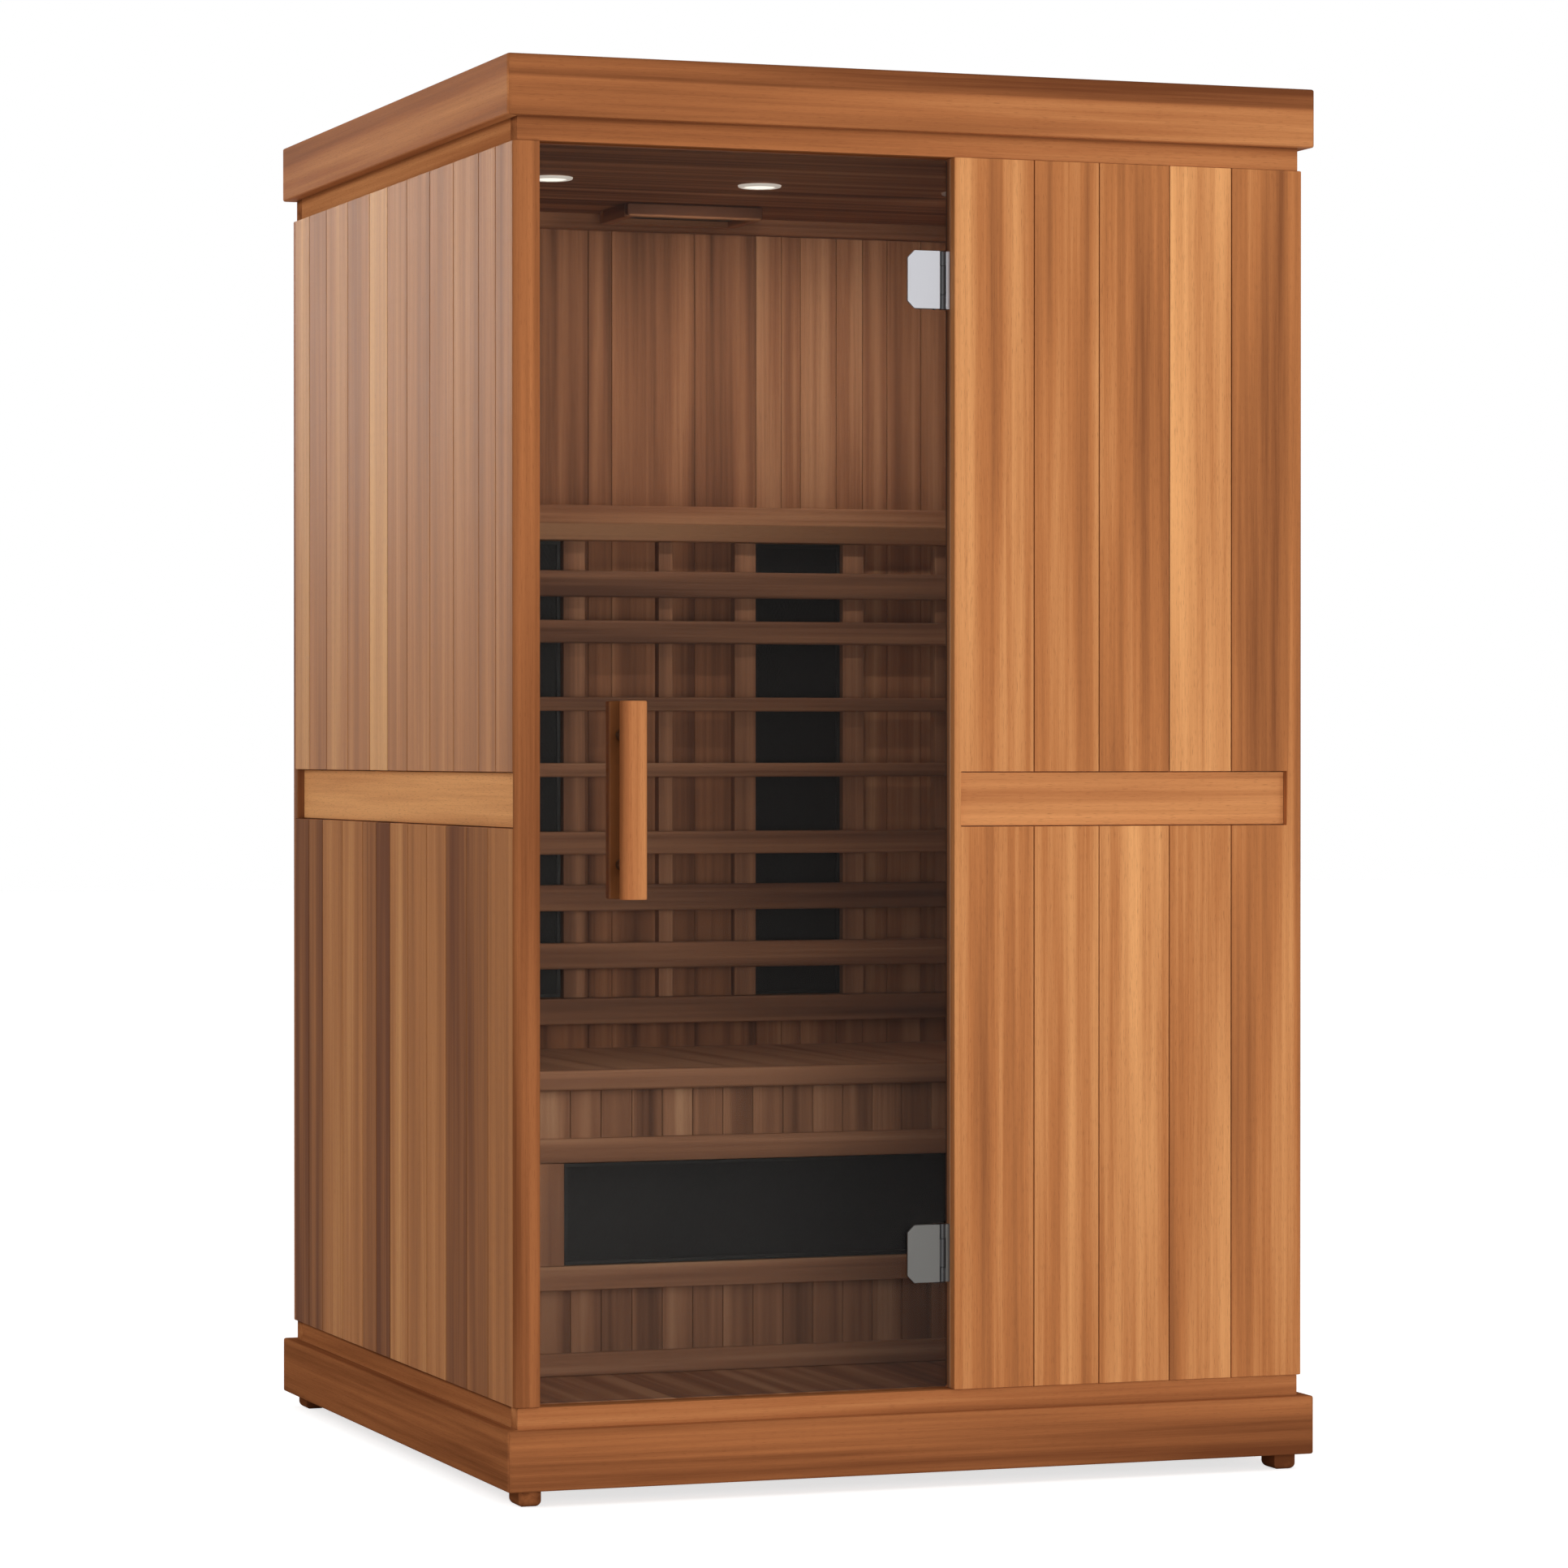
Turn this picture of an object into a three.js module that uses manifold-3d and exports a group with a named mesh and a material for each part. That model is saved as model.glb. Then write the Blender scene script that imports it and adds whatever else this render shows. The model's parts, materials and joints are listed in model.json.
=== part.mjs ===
// Infrared sauna cabin for two people: a cedar cabin with a glass door, a bench, a slatted
// backrest and black mesh heaters. Millimetres, +Z up, the front faces -Y, and the origin is
// on the floor under the middle of the cabin.
import * as THREE from 'three';
import { mergeVertices } from 'three/addons/utils/BufferGeometryUtils.js';
import Module from 'manifold-3d';

const wasm = await Module();
wasm.setup();

// Outer size, over the base trim, the roof fascia and the feet
const WIDTH = 1188;
const DEPTH = 1214;
const HEIGHT = 1950;

// Gap left at every joint between two pieces
const FIT = 0.3;

// Base trim and roof fascia: mitred boards of one section
const TRIM_HEIGHT = 82;
const TRIM_THICKNESS = 18;
const TRIM_CORNER_RADIUS = 6;
const TRIM_EDGE_RADIUS = 3;

// Feet
const FOOT_HEIGHT = 23;
const FOOT_WIDTH = 32;
const FOOT_LENGTH = 45;
const FOOT_INSET = 2;
const FOOT_ROUNDING = 9;

// Bands that show between the trims and the walls
const PLINTH_REVEAL = 29;
const FRIEZE_REVEAL = 32;

// Floor and roof frames
const FLOOR_DROP = 35;
const DECK_THICKNESS = 15;
const JOIST_WIDTH = 45;
const FLOOR_JOISTS = 3;
const ROOF_JOISTS = 2;
const CEILING_RISE = 25;
const CEILING_THICKNESS = 12;
const ROOF_COVER_THICKNESS = 12;
const ROOF_COVER_DROP = 6;

// Walls
const WALL_INSET = 13;
const CLADDING_THICKNESS = 16;
const LINING_THICKNESS = 20;
const WALL_CORNER_RADIUS = 7;
const GROOVE_WIDTH = 2.4;
const GROOVE_DEPTH = 1.6;
const INNER_BOARD = 100;
const BEAD_BOARD = 48;

// Widths of the cladding boards from end to end, fitted to each wall
const SIDE_UPPER_BOARDS = [80, 80, 124, 120, 120, 105, 98, 124, 123, 102, 86];
const SIDE_LOWER_BOARDS = [117, 103, 104, 98, 98, 97, 75, 76, 115, 116, 82, 81];
const FRONT_BOARDS = [119, 98, 107, 95, 110];

// Belt: a recess round the walls at hip height, with a rail in its floor
const BELT_CENTRE = 950;
const BELT_HEIGHT = 76;
const BELT_RAIL_THICKNESS = 5;
const BELT_RAIL_GAP = 1;
const BELT_REAR_MARGIN = 28;
const BELT_FRONT_MARGIN = 24;
const BELT_JAMB_MARGIN = 10;

// Door opening and glass
const DOOR_OPENING = 597.5;
const POST_THICKNESS = 10;
const POST_EDGE_RADIUS = 8;
const GLASS_THICKNESS = 8;
const GLASS_SETBACK = 22;
const GLASS_SIDE_GAP = 4;
const GLASS_END_GAP = 4;
const GLASS_CORNER_RADIUS = 3;

// Door hinges: a clamp on the glass turns on the pin of a wall bracket
const HINGE_HEIGHT = 80;
const HINGE_FROM_TOP = 169;
const HINGE_FROM_BOTTOM = 188;
const CLAMP_WIDTH = 48;
const CLAMP_THICKNESS = 4;
const CLAMP_CHAMFER = 11;
const CLAMP_WEB = 6;
const CLAMP_STUD_RADIUS = 5;
const CLAMP_STUD_SPACING = 44;
const SWING_CLEARANCE = 1.7;
const KNUCKLE_RADIUS = 5;
const KNUCKLE_CLEARANCE = 1;
const PIN_RADIUS = 2.5;
const PIN_CLEARANCE = 0.1;
const BRACKET_THICKNESS = 4;
const BRACKET_WIDTH = 16;

// Door handles: two wooden bars bolted together through the glass
const HANDLE_LENGTH = 269;
const HANDLE_WIDTH = 32;
const HANDLE_DEPTH = 17;
const HANDLE_FRONT_RADIUS = 9;
const HANDLE_BACK_RADIUS = 3;
const HANDLE_STANDOFF_RADIUS = 8;
const HANDLE_STANDOFF_SPACING = 176;
const HANDLE_STUD_RADIUS = 4;
const HANDLE_FROM_EDGE = 126;
const HOLE_CLEARANCE = 1;

// Bench
const SEAT_HEIGHT = 449.5;
const SEAT_THICKNESS = 24;
const BENCH_DEPTH = 548;
const NOSING_HEIGHT = 30;
const NOSING_THICKNESS = 18;
const NOSING_RADIUS = 5;
const KICK_GAP = 2;
const KICK_THICKNESS = 12;
const LEDGER_HEIGHT = 40;
const LEDGER_THICKNESS = 20;
const SKIRTING_HEIGHT = 34;
const SKIRTING_THICKNESS = 12;
const BOARD_EDGE_RADIUS = 3;

// Heater under the bench, in a picture frame on the kick panel
const KICK_HEATER_WIDTH = 642;
const KICK_HEATER_HEIGHT = 151;
const KICK_HEATER_ABOVE_FLOOR = 162;
const KICK_FRAME_RAIL = 36;
const KICK_FRAME_STILE = 60;
const KICK_FRAME_THICKNESS = 12;
const HEATER_THICKNESS = 8;
const HEATER_RIM = 6;
const HEATER_RIM_DEPTH = 2;
const HEATER_GAP = 1;

// Backrest: battens on the rear wall, slats across them, a ledge on top
const BATTEN_THICKNESS = 20;
const BATTEN_WIDTH = 36;
const NARROW_BATTEN_WIDTH = 24;
const MIDDLE_BATTEN_OFFSET = 9;
const SLAT_THICKNESS = 16;
const SLAT_END_GAP = 45;
const SLAT_RADIUS = 4;
const BACK_RAIL_ABOVE_SEAT = 39;
const BACK_RAIL_HEIGHT = 41;
const LEDGE_ABOVE_SEAT = 798;
const LEDGE_HEIGHT = 54;
const LEDGE_DEPTH = 62;
const LEDGE_FOOT_DEPTH = 44;
const LEDGE_FACE = 28;
const REAR_HEATER_WIDTH = 147;
const REAR_HEATER_SPACING = 467;

// Slats from the top: height of the middle of each above the seat, and its own height
const WIDE_SLAT = 41;
const MEDIUM_SLAT = 36;
const NARROW_SLAT = 22;
const SLAT_1_ABOVE_SEAT = 730;
const SLAT_2_ABOVE_SEAT = 655;
const SLAT_3_ABOVE_SEAT = 541.5;
const SLAT_4_ABOVE_SEAT = 438;
const SLAT_5_ABOVE_SEAT = 323.5;
const SLAT_6_ABOVE_SEAT = 237.5;
const SLAT_7_ABOVE_SEAT = 146.5;
const SLATS = [
  { middle: SLAT_1_ABOVE_SEAT, height: WIDE_SLAT },
  { middle: SLAT_2_ABOVE_SEAT, height: MEDIUM_SLAT },
  { middle: SLAT_3_ABOVE_SEAT, height: NARROW_SLAT },
  { middle: SLAT_4_ABOVE_SEAT, height: NARROW_SLAT },
  { middle: SLAT_5_ABOVE_SEAT, height: MEDIUM_SLAT },
  { middle: SLAT_6_ABOVE_SEAT, height: WIDE_SLAT },
  { middle: SLAT_7_ABOVE_SEAT, height: WIDE_SLAT },
];

// Ceiling fittings, power supply and touch panel
const LIGHT_BEZEL_RADIUS = 32;
const LIGHT_LENS_RADIUS = 28;
const LIGHT_EDGE = 1;
const LIGHT_BODY_RADIUS = 26;
const LIGHT_BODY_HEIGHT = 30;
const LIGHT_BEZEL_HEIGHT = 3;
const LIGHT_SPACING = 326;
const LIGHT_FROM_REAR = 490;
const LIGHT_COUNT = 3;
const LAMP_WIDTH = 222;
const LAMP_LENGTH = 140;
const LAMP_HEIGHT = 21;
const LAMP_BORDER = 16;
const LAMP_POCKET = 9;
const LAMP_FROM_REAR = 53;
const LAMP_CORNER_RADIUS = 3;
const CROWN_HEIGHT = 26;
const CROWN_DEPTH = 14;
const CROWN_FILLET = 9;
const POWER_WIDTH = 300;
const POWER_LENGTH = 180;
const POWER_HEIGHT = 45;
const POWER_RADIUS = 8;
const PANEL_WIDTH = 120;
const PANEL_HEIGHT = 180;
const PANEL_THICKNESS = 12;
const PANEL_BORDER = 9;
const PANEL_SCREEN_DEPTH = 1.5;
const PANEL_RADIUS = 8;
const PANEL_FROM_JAMB = 90;
const PANEL_ABOVE_FLOOR = 1180;

// Steps in each quarter round, and sides of a small round piece
const ARC_STEPS = 4;
const ROUND_SIDES = 20;

// Heights worked out from the sizes above
const trimTop = FOOT_HEIGHT + TRIM_HEIGHT;
const wallBottom = trimTop + PLINTH_REVEAL;
const fasciaBottom = HEIGHT - TRIM_HEIGHT;
const wallTop = fasciaBottom - FRIEZE_REVEAL;
const wallHeight = wallTop - wallBottom - 2 * FIT;
const floorTop = wallBottom - FLOOR_DROP;
const ceilingBottom = wallTop + CEILING_RISE;
const ceilingTop = ceilingBottom + CEILING_THICKNESS;
const roofFrameTop = HEIGHT - ROOF_COVER_DROP - ROOF_COVER_THICKNESS;
const seatTop = floorTop + SEAT_HEIGHT;
const beltBottom = BELT_CENTRE - BELT_HEIGHT / 2;
const beltTop = BELT_CENTRE + BELT_HEIGHT / 2;

// Faces of the walls, measured from the middle of the cabin
const halfWidth = WIDTH / 2;
const halfDepth = DEPTH / 2;
const frameX = halfWidth - TRIM_THICKNESS - FIT;
const frameY = halfDepth - TRIM_THICKNESS - FIT;
const wallX = halfWidth - WALL_INSET;
const wallY = halfDepth - WALL_INSET;
const liningX = wallX - CLADDING_THICKNESS;
const liningY = wallY - CLADDING_THICKNESS;
const innerX = liningX - LINING_THICKNESS;
const innerY = liningY - LINING_THICKNESS;
const jambX = DOOR_OPENING - innerX;

// The door turns about this upright axis
const hingeOffset = GLASS_THICKNESS / 2 + FIT + CLAMP_THICKNESS + SWING_CLEARANCE;
const hingeX = jambX - hingeOffset;
const hingeY = GLASS_SETBACK - wallY;
const hingeHeights = [wallTop - HINGE_FROM_TOP, wallBottom + HINGE_FROM_BOTTOM];

// Bench and backrest planes
const nosingFront = innerY - BENCH_DEPTH;
const seatFront = nosingFront + NOSING_THICKNESS + FIT;
const kickFront = nosingFront + NOSING_THICKNESS + KICK_GAP;
const slatBack = innerY - BATTEN_THICKNESS;
const ledgeBottom = seatTop + LEDGE_ABOVE_SEAT;

// Finishes
const finish = (color, roughness, metalness = 0) =>
  new THREE.MeshStandardMaterial({ color, roughness, metalness });
const trimCedar = finish(0xb0713f, 0.6);
const boardCedar = finish(0xc4874f, 0.62);
const shadedCedar = finish(0xa9774f, 0.65);
const liningCedar = finish(0x9a6a48, 0.68);
const slatCedar = finish(0x8c5f42, 0.66);
const plywood = finish(0xb89a74, 0.75);
const blackMesh = finish(0x22221f, 0.55, 0.3);
const satinSteel = finish(0xc8c9cc, 0.3, 0.9);
const tintedGlass = new THREE.MeshStandardMaterial({
  color: 0x5b4a3e, roughness: 0.05, transparent: true, opacity: 0.45,
});
const lampWhite = finish(0xf4f4f0, 0.4);
const darkPlastic = finish(0x2a2a2c, 0.5);

// Outlines

// Rectangle with its own radius at each corner, anticlockwise from the lower left
function roundedRectangle(x0, y0, x1, y1, radii) {
  const [lowerLeft, lowerRight, upperRight, upperLeft] = radii;
  const shape = new THREE.Shape();
  const corner = (x, y, radius, start) => {
    if (radius > 0) shape.absarc(x, y, radius, start, start + Math.PI / 2, false);
    else shape.lineTo(x, y);
  };
  shape.moveTo(x0 + lowerLeft, y0);
  corner(x1 - lowerRight, y0 + lowerRight, lowerRight, -Math.PI / 2);
  corner(x1 - upperRight, y1 - upperRight, upperRight, 0);
  corner(x0 + upperLeft, y1 - upperLeft, upperLeft, Math.PI / 2);
  corner(x0 + lowerLeft, y0 + lowerLeft, lowerLeft, Math.PI);
  return shape;
}

const rectangle = (x0, y0, x1, y1) => roundedRectangle(x0, y0, x1, y1, [0, 0, 0, 0]);

// Seams between boards of the given widths, fitted to the span
function seamsOf(start, end, widths) {
  const total = widths.reduce((sum, width) => sum + width, 0);
  let run = 0;
  return widths.slice(0, -1).map((width) => {
    run += width;
    return start + (run / total) * (end - start);
  });
}

// Seams between equal boards, as near to the given width as the span allows
function equalSeams(start, end, width) {
  const count = Math.max(1, Math.round((end - start) / width));
  return seamsOf(start, end, Array(count).fill(width));
}

// Section of a boarded panel from start to end, with a V groove at each seam of its face
function boardedSection(start, end, face, back, seams, place = (u, v) => [u, v]) {
  const inward = Math.sign(back - face);
  const points = [[start, back], [start, face]];
  for (const seam of seams) {
    points.push([seam - GROOVE_WIDTH / 2, face]);
    points.push([seam, face + inward * GROOVE_DEPTH]);
    points.push([seam + GROOVE_WIDTH / 2, face]);
  }
  points.push([end, face], [end, back]);
  return new THREE.Shape(points.map(([u, v]) => new THREE.Vector2(...place(u, v))));
}

// Turns a section drawn along a wall into one for a side wall
const alongY = (u, v) => [v, u];

// Solids

// Outline in the XY plane, extruded upwards from z0 to z1
function extrudeUp(shape, z0, z1) {
  const geometry = new THREE.ExtrudeGeometry(shape, {
    depth: z1 - z0, bevelEnabled: false, curveSegments: ARC_STEPS,
  });
  return geometry.translate(0, 0, z0);
}

// Outline of X and Z, extruded backwards from y0 to y1
function extrudeBack(shape, y0, y1) {
  return extrudeUp(shape, 0, y1 - y0).rotateX(Math.PI / 2).translate(0, y1, 0);
}

// Outline of Y and Z, extruded sideways from x0 to x1
function extrudeAcross(shape, x0, x1) {
  const turn = new THREE.Matrix4().makeBasis(
    new THREE.Vector3(0, 1, 0), new THREE.Vector3(0, 0, 1), new THREE.Vector3(1, 0, 0));
  return extrudeUp(shape, 0, x1 - x0).applyMatrix4(turn).translate(x0, 0, 0);
}

const block = (x0, y0, z0, x1, y1, z1) => extrudeUp(rectangle(x0, y0, x1, y1), z0, z1);

// Round bar about the Z axis
function uprightBar(x, y, radius, z0, z1) {
  const bar = new THREE.CylinderGeometry(radius, radius, z1 - z0, ROUND_SIDES);
  return bar.rotateX(Math.PI / 2).translate(x, y, (z0 + z1) / 2);
}

// Round bar along Y
function levelBar(x, z, radius, y0, y1) {
  const bar = new THREE.CylinderGeometry(radius, radius, y1 - y0, ROUND_SIDES);
  return bar.translate(x, (y0 + y1) / 2, z);
}

function solidOf(geometry) {
  const bare = geometry.clone();
  bare.deleteAttribute('normal');
  bare.deleteAttribute('uv');
  const merged = mergeVertices(bare);
  const vertProperties = Float32Array.from(merged.attributes.position.array);
  const triVerts = Uint32Array.from(merged.index.array);
  return new wasm.Manifold(new wasm.Mesh({ numProp: 3, vertProperties, triVerts }));
}

function geometryOf(solid) {
  const { vertProperties, triVerts } = solid.getMesh();
  const geometry = new THREE.BufferGeometry();
  geometry.setAttribute('position', new THREE.BufferAttribute(vertProperties, 3));
  geometry.setIndex(new THREE.BufferAttribute(triVerts, 1));
  geometry.computeVertexNormals();
  return geometry;
}

const join = (first, ...others) =>
  geometryOf(others.reduce((sum, other) => sum.add(solidOf(other)), solidOf(first)));
const cut = (first, ...others) =>
  geometryOf(others.reduce((rest, other) => rest.subtract(solidOf(other)), solidOf(first)));
const common = (first, second) => geometryOf(solidOf(first).intersect(solidOf(second)));

function addPart(group, name, geometry, material, position = [0, 0, 0], turn = 0) {
  const mesh = new THREE.Mesh(geometry, material);
  mesh.name = name;
  mesh.position.set(...position);
  mesh.rotation.z = turn;
  group.add(mesh);
  return mesh;
}

// The four sides that trim boards stand on, each turned about Z
const SIDES = [
  { name: 'front', length: WIDTH, reach: [0, -halfDepth], turn: 0 },
  { name: 'right', length: DEPTH, reach: [halfWidth, 0], turn: Math.PI / 2 },
  { name: 'rear', length: WIDTH, reach: [0, halfDepth], turn: Math.PI },
  { name: 'left', length: DEPTH, reach: [-halfWidth, 0], turn: -Math.PI / 2 },
];

// Board with mitred ends and a rounded outer face; the outer face lies on y = 0
function mitredBoard(length) {
  const end = length / 2;
  const halfGap = FIT / 2;
  const radius = TRIM_CORNER_RADIUS;
  const trimBack = Math.asin(halfGap / radius);
  const innerEnd = end - TRIM_THICKNESS - halfGap * Math.SQRT2;
  const plan = new THREE.Shape();
  plan.moveTo(-innerEnd, TRIM_THICKNESS);
  plan.absarc(radius - end, radius, radius, -0.75 * Math.PI + trimBack, -0.5 * Math.PI, false);
  plan.absarc(end - radius, radius, radius, -0.5 * Math.PI, -0.25 * Math.PI - trimBack, false);
  plan.lineTo(innerEnd, TRIM_THICKNESS);
  const round = TRIM_EDGE_RADIUS;
  const section = roundedRectangle(0, 0, 2 * TRIM_THICKNESS, TRIM_HEIGHT, [round, 0, 0, round]);
  return common(extrudeUp(plan, 0, TRIM_HEIGHT), extrudeAcross(section, -end, end));
}

function addTrim(group, prefix, z) {
  for (const { name, length, reach, turn } of SIDES) {
    addPart(group, `${prefix}_${name}`, mitredBoard(length), trimCedar, [...reach, z], turn);
  }
}

// Rectangular frame with joists across it from side to side
function joistedFrame(z0, z1, joistBottom, joistTop, joists) {
  const outline = rectangle(-frameX, -frameY, frameX, frameY);
  outline.holes.push(rectangle(-innerX, -innerY, innerX, innerY));
  const bay = (2 * innerY) / (joists + 1);
  const bars = Array.from({ length: joists }, (_, i) => {
    const middle = -innerY + bay * (i + 1);
    const half = JOIST_WIDTH / 2;
    return block(-frameX, middle - half, joistBottom, frameX, middle + half, joistTop);
  });
  return join(extrudeUp(outline, z0, z1), ...bars);
}

// Base: feet, trim, floor frame and deck
function makeBase() {
  const base = new THREE.Group();
  addTrim(base, 'base_trim', FOOT_HEIGHT);

  const deckBottom = floorTop - DECK_THICKNESS;
  addPart(base, 'floor_frame',
    joistedFrame(FOOT_HEIGHT, wallBottom, FOOT_HEIGHT, deckBottom, FLOOR_JOISTS), trimCedar);

  const deckX = innerX - FIT;
  const deckY = innerY - FIT;
  const deck = boardedSection(-deckX, deckX, floorTop, deckBottom + FIT,
    equalSeams(-deckX, deckX, INNER_BOARD));
  addPart(base, 'floor_deck', extrudeBack(deck, -deckY, deckY), liningCedar);

  const footX = frameX - FOOT_INSET - FOOT_WIDTH / 2;
  const footY = frameY - FOOT_INSET - FOOT_LENGTH / 2;
  for (const [row, y] of [['front', -footY], ['rear', footY]]) {
    for (const [side, x] of [['left', -footX], ['right', footX]]) {
      addPart(base, `foot_${row}_${side}`, makeFoot(), trimCedar, [x, y, 0]);
    }
  }
  return base;
}

// Block whose lower edges are rounded on all four sides
function makeFoot() {
  const top = FOOT_HEIGHT - FIT;
  const round = FOOT_ROUNDING;
  const profile = (size) =>
    roundedRectangle(-size / 2, 0, size / 2, top, [round, round, 0, 0]);
  return common(
    extrudeBack(profile(FOOT_WIDTH), -FOOT_LENGTH / 2, FOOT_LENGTH / 2),
    extrudeAcross(profile(FOOT_LENGTH), -FOOT_WIDTH / 2, FOOT_WIDTH / 2));
}

// Walls: each has outer cladding, a belt rail in its recess, and an inner lining
function makeWalls() {
  const walls = new THREE.Group();
  addSideWall(walls, 'left', -1, POST_THICKNESS, shadedCedar);
  addSideWall(walls, 'right', 1, CLADDING_THICKNESS, boardCedar);
  addRearWall(walls);
  addFrontWall(walls);
  return walls;
}

// Side wall whose outside is at x = side * wallX, behind a front board of the given thickness
function addSideWall(walls, name, side, frontCover, material) {
  const front = -wallY + frontCover + FIT;
  const rear = liningY - FIT;
  const beltEnd = wallY - BELT_REAR_MARGIN;
  const face = side * wallX;
  const back = side * (liningX + FIT);
  const field = (widths, z0, z1) =>
    extrudeUp(boardedSection(front, rear, face, back, seamsOf(front, rear, widths), alongY), z0, z1);
  const upper = field(SIDE_UPPER_BOARDS, beltTop, wallTop - FIT);
  const lower = field(SIDE_LOWER_BOARDS, wallBottom + FIT, beltBottom);
  const stile = block(Math.min(face, back), beltEnd, beltBottom - BELT_HEIGHT,
    Math.max(face, back), rear, beltTop + BELT_HEIGHT);
  addPart(walls, `${name}_cladding`, join(upper, lower, stile), material);

  const railFace = side * (liningX + FIT + BELT_RAIL_THICKNESS);
  const rail = rectangle(Math.min(railFace, back), front, Math.max(railFace, back), beltEnd - FIT);
  addPart(walls, `${name}_belt_rail`,
    extrudeUp(rail, beltBottom + BELT_RAIL_GAP, beltTop - BELT_RAIL_GAP), trimCedar);

  const lining = boardedSection(front, rear, side * innerX, side * liningX,
    equalSeams(front, rear, INNER_BOARD), alongY);
  addPart(walls, `${name}_lining`, extrudeUp(lining, 0, wallHeight), liningCedar,
    [0, 0, wallBottom + FIT]);
}

// Rear wall: cladding over the ends of the side walls, and a lining that carries the bench ledger
function addRearWall(walls) {
  const seams = seamsOf(-wallX, wallX, SIDE_UPPER_BOARDS);
  const boards = boardedSection(-wallX, wallX, wallY, liningY, seams);
  const radius = WALL_CORNER_RADIUS;
  const corners = roundedRectangle(-wallX, liningY, wallX, wallY, [0, 0, radius, radius]);
  addPart(walls, 'rear_cladding',
    common(extrudeUp(boards, 0, wallHeight), extrudeUp(corners, 0, wallHeight)),
    boardCedar, [0, 0, wallBottom + FIT]);

  const end = innerX - FIT;
  const lining = boardedSection(-end, end, innerY, liningY - FIT, equalSeams(-end, end, INNER_BOARD));
  const ledgerTop = seatTop - SEAT_THICKNESS - FIT;
  const ledger = block(-end, innerY - LEDGER_THICKNESS, ledgerTop - LEDGER_HEIGHT,
    end, innerY + LINING_THICKNESS / 2, ledgerTop);
  addPart(walls, 'rear_lining',
    join(extrudeUp(lining, wallBottom + FIT, wallTop - FIT), ledger), liningCedar);
}

// Front wall: the door post on the left, the boarded panel on the right
function addFrontWall(walls) {
  const postRadius = Math.min(POST_EDGE_RADIUS, POST_THICKNESS - FIT);
  const post = roundedRectangle(-wallX, -wallY, -innerX, -wallY + POST_THICKNESS,
    [postRadius, BOARD_EDGE_RADIUS, 0, 0]);
  addPart(walls, 'door_post', extrudeUp(post, 0, wallHeight), trimCedar, [0, 0, wallBottom + FIT]);

  const boards = boardedSection(jambX, wallX, -wallY, -liningY - FIT,
    seamsOf(jambX, wallX, FRONT_BOARDS));
  const corners = roundedRectangle(jambX, -wallY, wallX, -liningY,
    [BOARD_EDGE_RADIUS, WALL_CORNER_RADIUS, 0, 0]);
  const panel = common(extrudeUp(boards, wallBottom + FIT, wallTop - FIT),
    extrudeUp(corners, wallBottom, wallTop));
  const beltLeft = jambX + BELT_JAMB_MARGIN;
  const beltRight = wallX - BELT_FRONT_MARGIN;
  const recess = block(beltLeft, -wallY - CLADDING_THICKNESS, beltBottom, beltRight, -innerY, beltTop);
  addPart(walls, 'front_cladding', cut(panel, recess), boardCedar);

  const railBack = -liningY - FIT;
  addPart(walls, 'front_belt_rail',
    block(beltLeft + FIT, railBack - BELT_RAIL_THICKNESS, beltBottom + BELT_RAIL_GAP,
      beltRight - FIT, railBack, beltTop - BELT_RAIL_GAP), trimCedar);

  const end = innerX - FIT;
  const lining = boardedSection(jambX, end, -innerY, -liningY, equalSeams(jambX, end, INNER_BOARD));
  addPart(walls, 'front_lining', extrudeUp(lining, 0, wallHeight), liningCedar,
    [0, 0, wallBottom + FIT]);

  const x0 = jambX + PANEL_FROM_JAMB;
  const z0 = floorTop + PANEL_ABOVE_FLOOR;
  addPart(walls, 'touch_panel', makeTouchPanel(), darkPlastic, [x0, FIT - innerY, z0]);
}

// Flat housing with a sunk screen, on the inside of the front wall
function makeTouchPanel() {
  const outline = (inset) => {
    const radius = Math.max(PANEL_RADIUS - inset, PANEL_SCREEN_DEPTH);
    return roundedRectangle(inset, inset, PANEL_WIDTH - inset, PANEL_HEIGHT - inset, Array(4).fill(radius));
  };
  const screen = extrudeBack(outline(PANEL_BORDER),
    PANEL_THICKNESS - PANEL_SCREEN_DEPTH, PANEL_THICKNESS + PANEL_SCREEN_DEPTH);
  return cut(extrudeBack(outline(0), 0, PANEL_THICKNESS), screen);
}

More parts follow.
